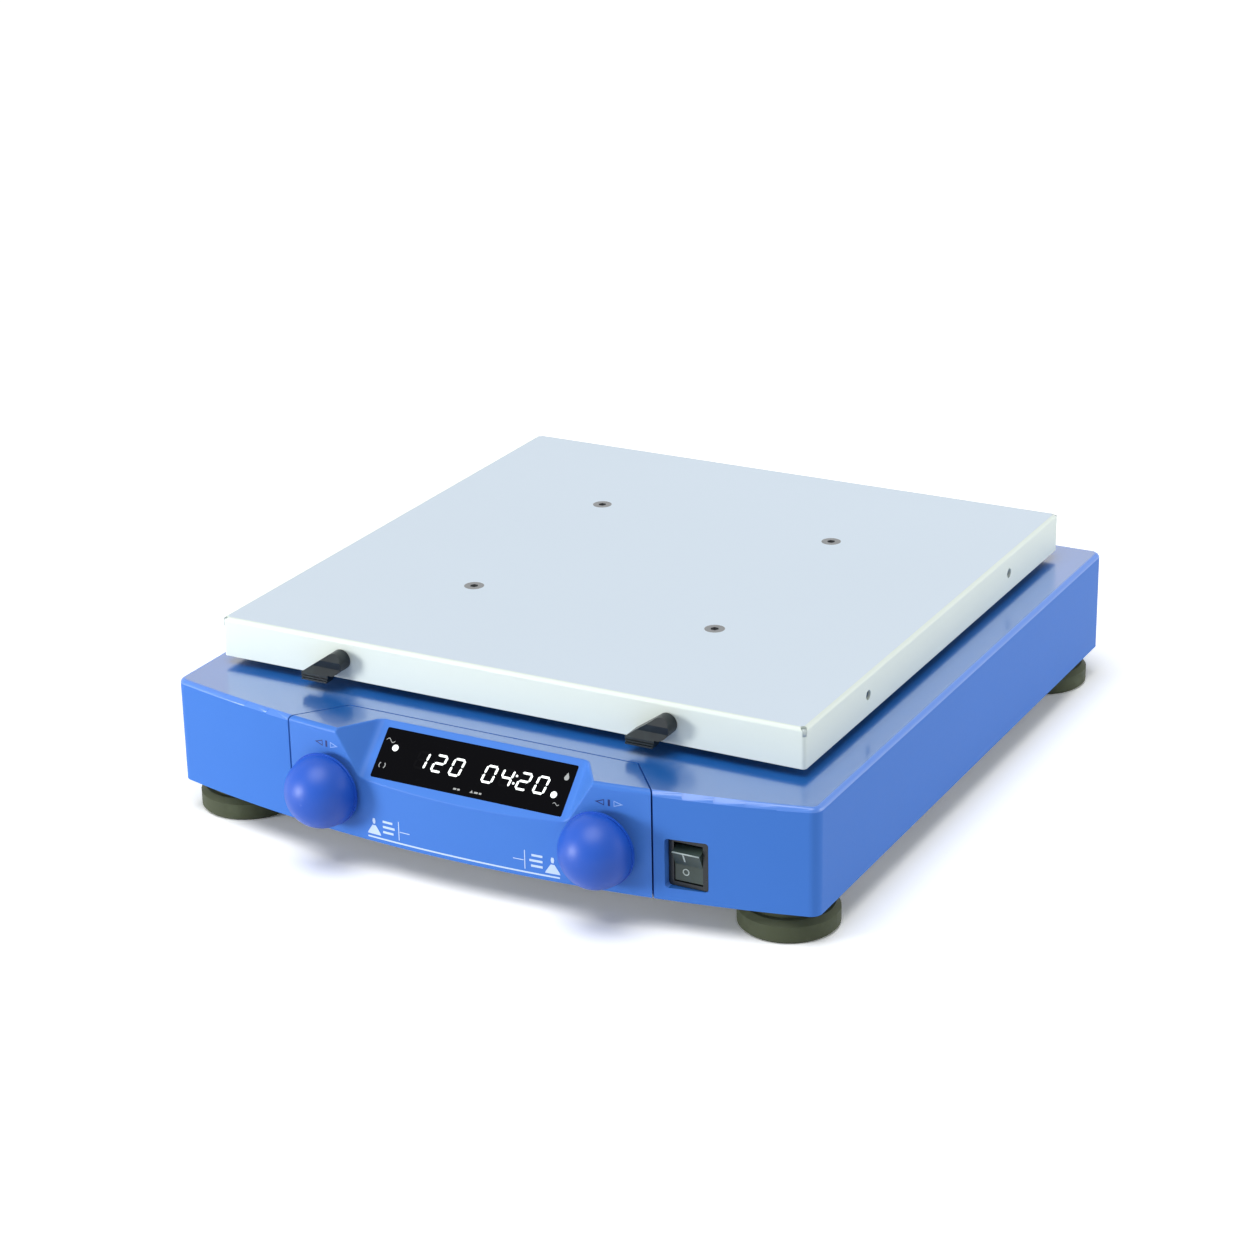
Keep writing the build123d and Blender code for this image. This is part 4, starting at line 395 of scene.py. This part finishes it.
def segment_shapes(w, h, t):
    """Seven bevelled strokes of one digit, centred on zero, y up."""
    g = STROKE_GAP
    x, y = w / 2 - t / 2, h / 2 - t / 2
    k = t / 2

    def flat(cy):
        return [(-x + g, cy), (-x + g + k, cy + k), (x - g - k, cy + k), (x - g, cy),
                (x - g - k, cy - k), (-x + g + k, cy - k)]

    def tall(cx, y0, y1):
        return [(cx, y0 + g), (cx + k, y0 + g + k), (cx + k, y1 - g - k), (cx, y1 - g),
                (cx - k, y1 - g - k), (cx - k, y0 + g + k)]

    return {"a": flat(y), "g": flat(0), "d": flat(-y), "f": tall(-x, 0, y), "b": tall(x, 0, y),
            "e": tall(-x, -y, 0), "c": tall(x, -y, 0)}


DIGIT_W, DIGIT_H, STROKE, STROKE_GAP, SLANT, ROW = 6.6, 9.6, 1.15, 0.18, 0.14, 16.8
CELLS = [(-28.0, "1"), (-18.2, "2"), (-8.2, "0"), (10.2, "0"), (19.6, "4"), (29.2, "2"), (38.8, "0")]
COLON_X, COLON_HALF, COLON_RADIUS = 24.4, 2.0, 0.62
shapes = segment_shapes(DIGIT_W, DIGIT_H, STROKE)
lit, dim = bmesh.new(), bmesh.new()
for cx, char in CELLS:
    for key, outline in shapes.items():
        pts = [(cx + px + SLANT * py, ROW - py) for px, py in outline]
        on = key in SEGMENTS[char]
        inlay(lit if on else dim, pts, facet, LOW, INK if on else IDLE_INK)
for dy in (-COLON_HALF, COLON_HALF):
    inlay(lit, disc(COLON_X - SLANT * dy, ROW + dy, COLON_RADIUS, 16), facet, LOW, INK)
piece("display_digits", lit, mats["lit"], "housing")
piece("display_idle_segments", dim, mats["dim"], "housing")

# two round lamps, domed in steps of radius and height
LAMP_PLACES = ((-44.6, 13.5), (46.9, 20.2))
LAMP_DOME = ((1.75, LOW), (1.65, 0.18), (1.2, 0.38), (0.6, 0.5))
LAMP_SIDES = 24
lamps = bmesh.new()
for lx, ly in LAMP_PLACES:
    rings = []
    for r, lift in LAMP_DOME:
        rings.append([lamps.verts.new(facet(x, y, lift)) for x, y in disc(lx, ly, r, LAMP_SIDES)])
    for a, b in zip(rings, rings[1:]):
        for i in range(LAMP_SIDES):
            j = (i + 1) % LAMP_SIDES
            lamps.faces.new((a[i], a[j], b[j], b[i]))
    lamps.faces.new(rings[-1])
    lamps.faces.new(list(reversed(rings[0])))
piece("display_lamps", lamps, mats["lit"], "housing", smooth=True)


# small signs behind the window: waves, a ring in two halves, a drop, a triangle and short bars
def wave(x, y, pitch, rise, thick):
    line = [(x + pitch * k, y - rise * math.sin(k * 0.62)) for k in range(11)]
    return line + [(px, py + thick) for px, py in reversed(line)]


def half_ring(cx, cy, side, outer, inner):
    arc = [math.radians(-50 + 10 * k) for k in range(11)]
    out = [(cx + side * outer * math.cos(a), cy + outer * math.sin(a)) for a in arc]
    back = [(cx + side * inner * math.cos(a), cy + inner * math.sin(a)) for a in reversed(arc)]
    return out + back


DROP = [(50.4, 7.9), (51.5, 10.0), (51.7, 10.9), (51.3, 11.7),
        (50.4, 12.0), (49.5, 11.7), (49.1, 10.9), (49.3, 10.0)]
UP_MARK = [(3.2, 27.9), (4.1, 26.5), (5.0, 27.9)]
SHORT_BARS = ((-6.0, -4.4, 27.6), (-3.8, -2.4, 27.6), (5.6, 7.6, 27.4), (8.3, 9.6, 27.4))
BAR_HALF = 0.45
icons = bmesh.new()
inlay(icons, wave(-51.0, 9.9, 0.5, 1.0, 0.45), facet, LOW, THIN_INK)
for side in (-1, 1):
    inlay(icons, half_ring(-48.3, 23.4, side, 1.9, 1.45), facet, LOW, THIN_INK)
inlay(icons, DROP, facet, LOW, THIN_INK)
for x0, x1, y in SHORT_BARS:
    inlay(icons, bar(x0, x1, y - BAR_HALF, y + BAR_HALF), facet, LOW, THIN_INK)
inlay(icons, UP_MARK, facet, LOW, THIN_INK)
inlay(icons, wave(47.9, 24.4, 0.35, 0.6, 0.35), facet, LOW, THIN_INK)
piece("display_icons", icons, mats["icon"], "housing")

# printed marks on the bowed front: a base line, two flasks, bars and a rule beside each
BASE_LINE = (-54.2, 54.0, 19.4, 0.42)
FLASK_X, RULE_X = 50.3, 35.5
RULE_HALF, RULE_LOW, RULE_HIGH = 0.22, 21.0, 31.0
FLASK = [(-4.0, 21.0), (4.0, 21.0), (3.7, 21.9), (1.0, 25.9), (-1.0, 25.9), (-3.7, 21.9)]
FLASK_NECK = [(-0.55, 26.7), (0.55, 26.7), (0.9, 28.2), (0.6, 29.6), (-0.6, 29.6), (-0.9, 28.2)]
BAR_NEAR, BAR_FAR, BAR_THICK_HALF = 38.0, 45.0, 0.6
BARS = ((29.0, 1.2), (26.2, 0.0), (23.4, 0.8))
POINTER_NEAR, POINTER_FAR, POINTER_Z, POINTER_HALF = 29.2, 34.9, 25.6, 0.2
marks = bmesh.new()
strip(marks, *BASE_LINE, front, LOW, LINE_INK)
for s in (-1, 1):
    cx = s * FLASK_X
    inlay(marks, shifted(FLASK, cx), front, LOW, INK, step=2.0)
    inlay(marks, shifted(FLASK_NECK, cx), front, LOW, INK)
    x0, x1 = sorted((s * BAR_FAR, s * BAR_NEAR))
    for z, cut in BARS:
        a, b = (x0, x1 - cut) if s < 0 else (x0 + cut, x1)
        strip(marks, a, b, z, BAR_THICK_HALF, front, LOW, THIN_INK)
    rule = s * RULE_X
    inlay(marks, bar(rule - RULE_HALF, rule + RULE_HALF, RULE_LOW, RULE_HIGH), front, LOW, INK)
    x0, x1 = sorted((s * POINTER_FAR, s * POINTER_NEAR))
    strip(marks, x0, x1, POINTER_Z, POINTER_HALF, front, LOW, INK)
piece("front_print", marks, mats["mark"], "housing")

# turn marks over the knobs: a short bar between a dark and a pale arrowhead
MARK_PLACES = (-77.6, 80.2)
MARK_Z, HEAD_TIP, HEAD_BASE, HEAD_HALF = 63.3, 7.2, 2.4, 1.6
HOLLOW_TIP, HOLLOW_BASE, HOLLOW_HALF = 1.5, 0.35, 1.05
MARK_BAR_HALF, MARK_BAR_LOW, MARK_BAR_HIGH = 0.55, 61.7, 65.1
pale, dark = bmesh.new(), bmesh.new()
for cx in MARK_PLACES:
    middle_bar = bar(cx - MARK_BAR_HALF, cx + MARK_BAR_HALF, MARK_BAR_LOW, MARK_BAR_HIGH)
    inlay(dark, middle_bar, front, LOW, THIN_INK)
    for s, bm in ((-1, dark), (1, pale)):
        tip, base = cx + s * HEAD_TIP, cx + s * HEAD_BASE
        outer = [(tip, MARK_Z), (base, MARK_Z + HEAD_HALF), (base, MARK_Z - HEAD_HALF)]
        hollow = base + s * HOLLOW_BASE
        inner = [(tip - s * HOLLOW_TIP, MARK_Z), (hollow, MARK_Z + HOLLOW_HALF),
                 (hollow, MARK_Z - HOLLOW_HALF)]
        loop_band(bm, outer, inner, front, LOW, THIN_INK)
piece("turn_marks_dark", dark, mats["mark_dark"], "housing")
piece("turn_marks_pale", pale, mats["mark_soft"], "housing")

# signs on the rocker, and a pale rod on its upper lip as a painted highlight
ROCKER_X, ROCKER_Y, ROCKER_Z = 118.0, -171.5, 36.3
TILT = math.radians(13.0)
CREASE_REACH, LIP_REACH, LIP_HEIGHT = 6.0, 7.9, 8.2


def rocker_point(y, z):
    """y and z in mm of a point given from the rocker's pivot, with the rocker tilted."""
    return (ROCKER_Y + y * math.cos(TILT) - z * math.sin(TILT),
            ROCKER_Z + y * math.sin(TILT) + z * math.cos(TILT))


CREASE = rocker_point(-CREASE_REACH, 0.0)
UPPER_LIP = rocker_point(-LIP_REACH, LIP_HEIGHT)
LOWER_LIP = rocker_point(-LIP_REACH, -LIP_HEIGHT)


def rocker_half(lip):
    """Maps x and the distance from the middle crease onto one half of the rocker face."""
    dy, dz = lip[0] - CREASE[0], lip[1] - CREASE[1]
    length = math.hypot(dy, dz)
    dy, dz = dy / length, dz / length
    ny, nz = (-dz, dy) if dz > 0 else (dz, -dy)

    def place(x, d, lift):
        return Vector((x, CREASE[0] + dy * d + ny * lift, CREASE[1] + dz * d + nz * lift)) * MM
    return place


STROKE_LEFT, STROKE_RIGHT, STROKE_NEAR, STROKE_FAR = ROCKER_X - 1.95, ROCKER_X - 1.15, 2.6, 7.6
RING_X, RING_DOWN, RING_OUTER, RING_INNER = ROCKER_X - 1.6, 3.6, 1.75, 1.25
signs = bmesh.new()
upper, lower = rocker_half(UPPER_LIP), rocker_half(LOWER_LIP)
inlay(signs, bar(STROKE_LEFT, STROKE_RIGHT, STROKE_NEAR, STROKE_FAR), upper, LOW, THIN_INK)
ring_outside = disc(RING_X, RING_DOWN, RING_OUTER)
ring_inside = disc(RING_X, RING_DOWN, RING_INNER)
loop_band(signs, ring_outside, ring_inside, lower, LOW, THIN_INK)
piece("rocker_signs", signs, mats["rocker_mark"], "rocker")


def bead(bm, a, b, r, sides=12):
    """A round rod with closed ends between two points in mm."""
    a, b = Vector(a) * MM, Vector(b) * MM
    along = (b - a).normalized()
    u = along.orthogonal().normalized()
    v = along.cross(u)
    rings = []
    for end in (a, b):
        ring = []
        for k in range(sides):
            turn = 2 * math.pi * k / sides
            ring.append(bm.verts.new(end + (u * math.cos(turn) + v * math.sin(turn)) * r * MM))
        rings.append(ring)
    for i in range(sides):
        j = (i + 1) % sides
        bm.faces.new((rings[0][i], rings[0][j], rings[1][j], rings[1][i]))
    bm.faces.new(list(reversed(rings[0])))
    bm.faces.new(rings[1])


# painted highlight: a pale rod along the rocker's upper lip
LIP_HALF_WIDTH, LIP_RADIUS, LIP_SINK = 7.1, 0.35, 0.1
lip_y, lip_z = UPPER_LIP[0] + LIP_SINK, UPPER_LIP[1] - LIP_SINK
lips = bmesh.new()
bead(lips, (ROCKER_X - LIP_HALF_WIDTH, lip_y, lip_z), (ROCKER_X + LIP_HALF_WIDTH, lip_y, lip_z), LIP_RADIUS)
piece("rocker_lip", lips, mats["rocker_lip"], "rocker", smooth=True)

# welds that close the notches under the corners of the platform
TABLE_X, TABLE_Y, WELD_REACH = -5.0, 26.0, 163.35
WELD_LOW, WELD_HIGH, WELD_RADIUS, WELD_SIDES = 93.2, 97.0, 1.42, 20
welds = bmesh.new()
for sx in (-1, 1):
    for sy in (-1, 1):
        x, y = TABLE_X + sx * WELD_REACH, TABLE_Y + sy * WELD_REACH
        bead(welds, (x, y, WELD_LOW), (x, y, WELD_HIGH), WELD_RADIUS, WELD_SIDES)
piece("corner_welds", welds, mats["weld"], "table", smooth=True)

# camera, as fitted to the photograph
YAW, PITCH, ROLL = math.radians(28.501), math.radians(21.712), math.radians(-1.091)
FOCAL_PIXELS, PHOTO_PIXELS, SENSOR = 3101.1, 1250, 36.0
back = Vector((math.sin(YAW) * math.cos(PITCH), -math.cos(YAW) * math.cos(PITCH), math.sin(PITCH)))
right = Vector((math.cos(YAW), math.sin(YAW), 0))
up = back.cross(right)
cam_right = right * math.cos(ROLL) + up * math.sin(ROLL)
cam_up = up * math.cos(ROLL) - right * math.sin(ROLL)
cam_data = bpy.data.cameras.new("camera")
cam_data.sensor_width = SENSOR
cam_data.lens = FOCAL_PIXELS / PHOTO_PIXELS * SENSOR
cam_data.clip_end = 200
cam = bpy.data.objects.new("camera", cam_data)
bpy.context.scene.collection.objects.link(cam)
stand = Matrix((cam_right, cam_up, back)).transposed().to_4x4()
stand.translation = Vector((0.71874, -1.34228, 0.67917))
cam.matrix_world = stand
bpy.context.scene.camera = cam


def background_rays(nt):
    """1 for camera, glossy and transmission rays, 0 for the rays that light the object."""
    path = nt.nodes.new("ShaderNodeLightPath")
    first = nt.nodes.new("ShaderNodeMath")
    first.operation = "MAXIMUM"
    nt.links.new(path.outputs["Is Camera Ray"], first.inputs[0])
    nt.links.new(path.outputs["Is Glossy Ray"], first.inputs[1])
    both = nt.nodes.new("ShaderNodeMath")
    both.operation = "MAXIMUM"
    nt.links.new(first.outputs[0], both.inputs[0])
    nt.links.new(path.outputs["Is Transmission Ray"], both.inputs[1])
    return both.outputs[0]


# world: a dim cool fill on the object, white where the camera and reflections see it
world = bpy.data.worlds.new("studio")
bpy.context.scene.world = world
world.use_nodes = True
wt = world.node_tree
wt.nodes.clear()
seen = background_rays(wt)
fill = wt.nodes.new("ShaderNodeBackground")
fill.inputs["Color"].default_value = (0.90, 0.96, 1.0, 1)
fill.inputs["Strength"].default_value = 0.26
white = wt.nodes.new("ShaderNodeBackground")
white.inputs["Color"].default_value = (1, 1, 1, 1)
white.inputs["Strength"].default_value = 1.0
mix = wt.nodes.new("ShaderNodeMixShader")
out = wt.nodes.new("ShaderNodeOutputWorld")
wt.links.new(seen, mix.inputs["Fac"])
wt.links.new(fill.outputs[0], mix.inputs[1])
wt.links.new(white.outputs[0], mix.inputs[2])
wt.links.new(mix.outputs[0], out.inputs["Surface"])

# floor: plain under the object's light, white to the camera with the shadow kept
FLOOR_HALF = 40.0
floor_mat = bpy.data.materials.new("studio_floor")
floor_mat.use_nodes = True
ft = floor_mat.node_tree
ft.nodes.clear()
seen = background_rays(ft)
plain = ft.nodes.new("ShaderNodeBsdfDiffuse")
plain.inputs["Color"].default_value = (0.80, 0.81, 0.82, 1)
bright = ft.nodes.new("ShaderNodeBsdfDiffuse")
bright.inputs["Color"].default_value = (1.26, 1.26, 1.26, 1)
lift = ft.nodes.new("ShaderNodeEmission")
lift.inputs["Strength"].default_value = 0.02
total = ft.nodes.new("ShaderNodeAddShader")
ft.links.new(bright.outputs[0], total.inputs[0])
ft.links.new(lift.outputs[0], total.inputs[1])
pick = ft.nodes.new("ShaderNodeMixShader")
fout = ft.nodes.new("ShaderNodeOutputMaterial")
ft.links.new(seen, pick.inputs["Fac"])
ft.links.new(plain.outputs[0], pick.inputs[1])
ft.links.new(total.outputs[0], pick.inputs[2])
ft.links.new(pick.outputs[0], fout.inputs["Surface"])
bm = bmesh.new()
bmesh.ops.create_grid(bm, x_segments=8, y_segments=8, size=FLOOR_HALF)
floor_mesh = bpy.data.meshes.new("floor")
bm.to_mesh(floor_mesh)
bm.free()
floor_mesh.materials.append(floor_mat)
floor = bpy.data.objects.new("floor", floor_mesh)
bpy.context.scene.collection.objects.link(floor)


# lamps
def lamp(name, kind, position, aim, energy, **settings):
    data = bpy.data.lights.new(name, kind)
    data.energy = energy
    for key, value in settings.items():
        setattr(data, key, value)
    o = bpy.data.objects.new(name, data)
    o.location = position
    o.rotation_euler = (Vector(aim) - Vector(position)).to_track_quat("-Z", "Y").to_euler()
    bpy.context.scene.collection.objects.link(o)


bpy.context.scene.view_settings.view_transform = "Standard"
lamp("overhead", "SUN", (-0.1, -0.9, 3.0), (0, 0, 0), 1.95, angle=math.radians(45))
lamp("front_left", "AREA", (-0.95, -1.15, 0.22), (0, -0.19, 0.05), 11.6, shape="DISK", size=0.40)
lamp("right_fill", "AREA", (1.6, 0.7, 0.45), (0, 0, 0.05), 11.0, shape="DISK", size=1.2)
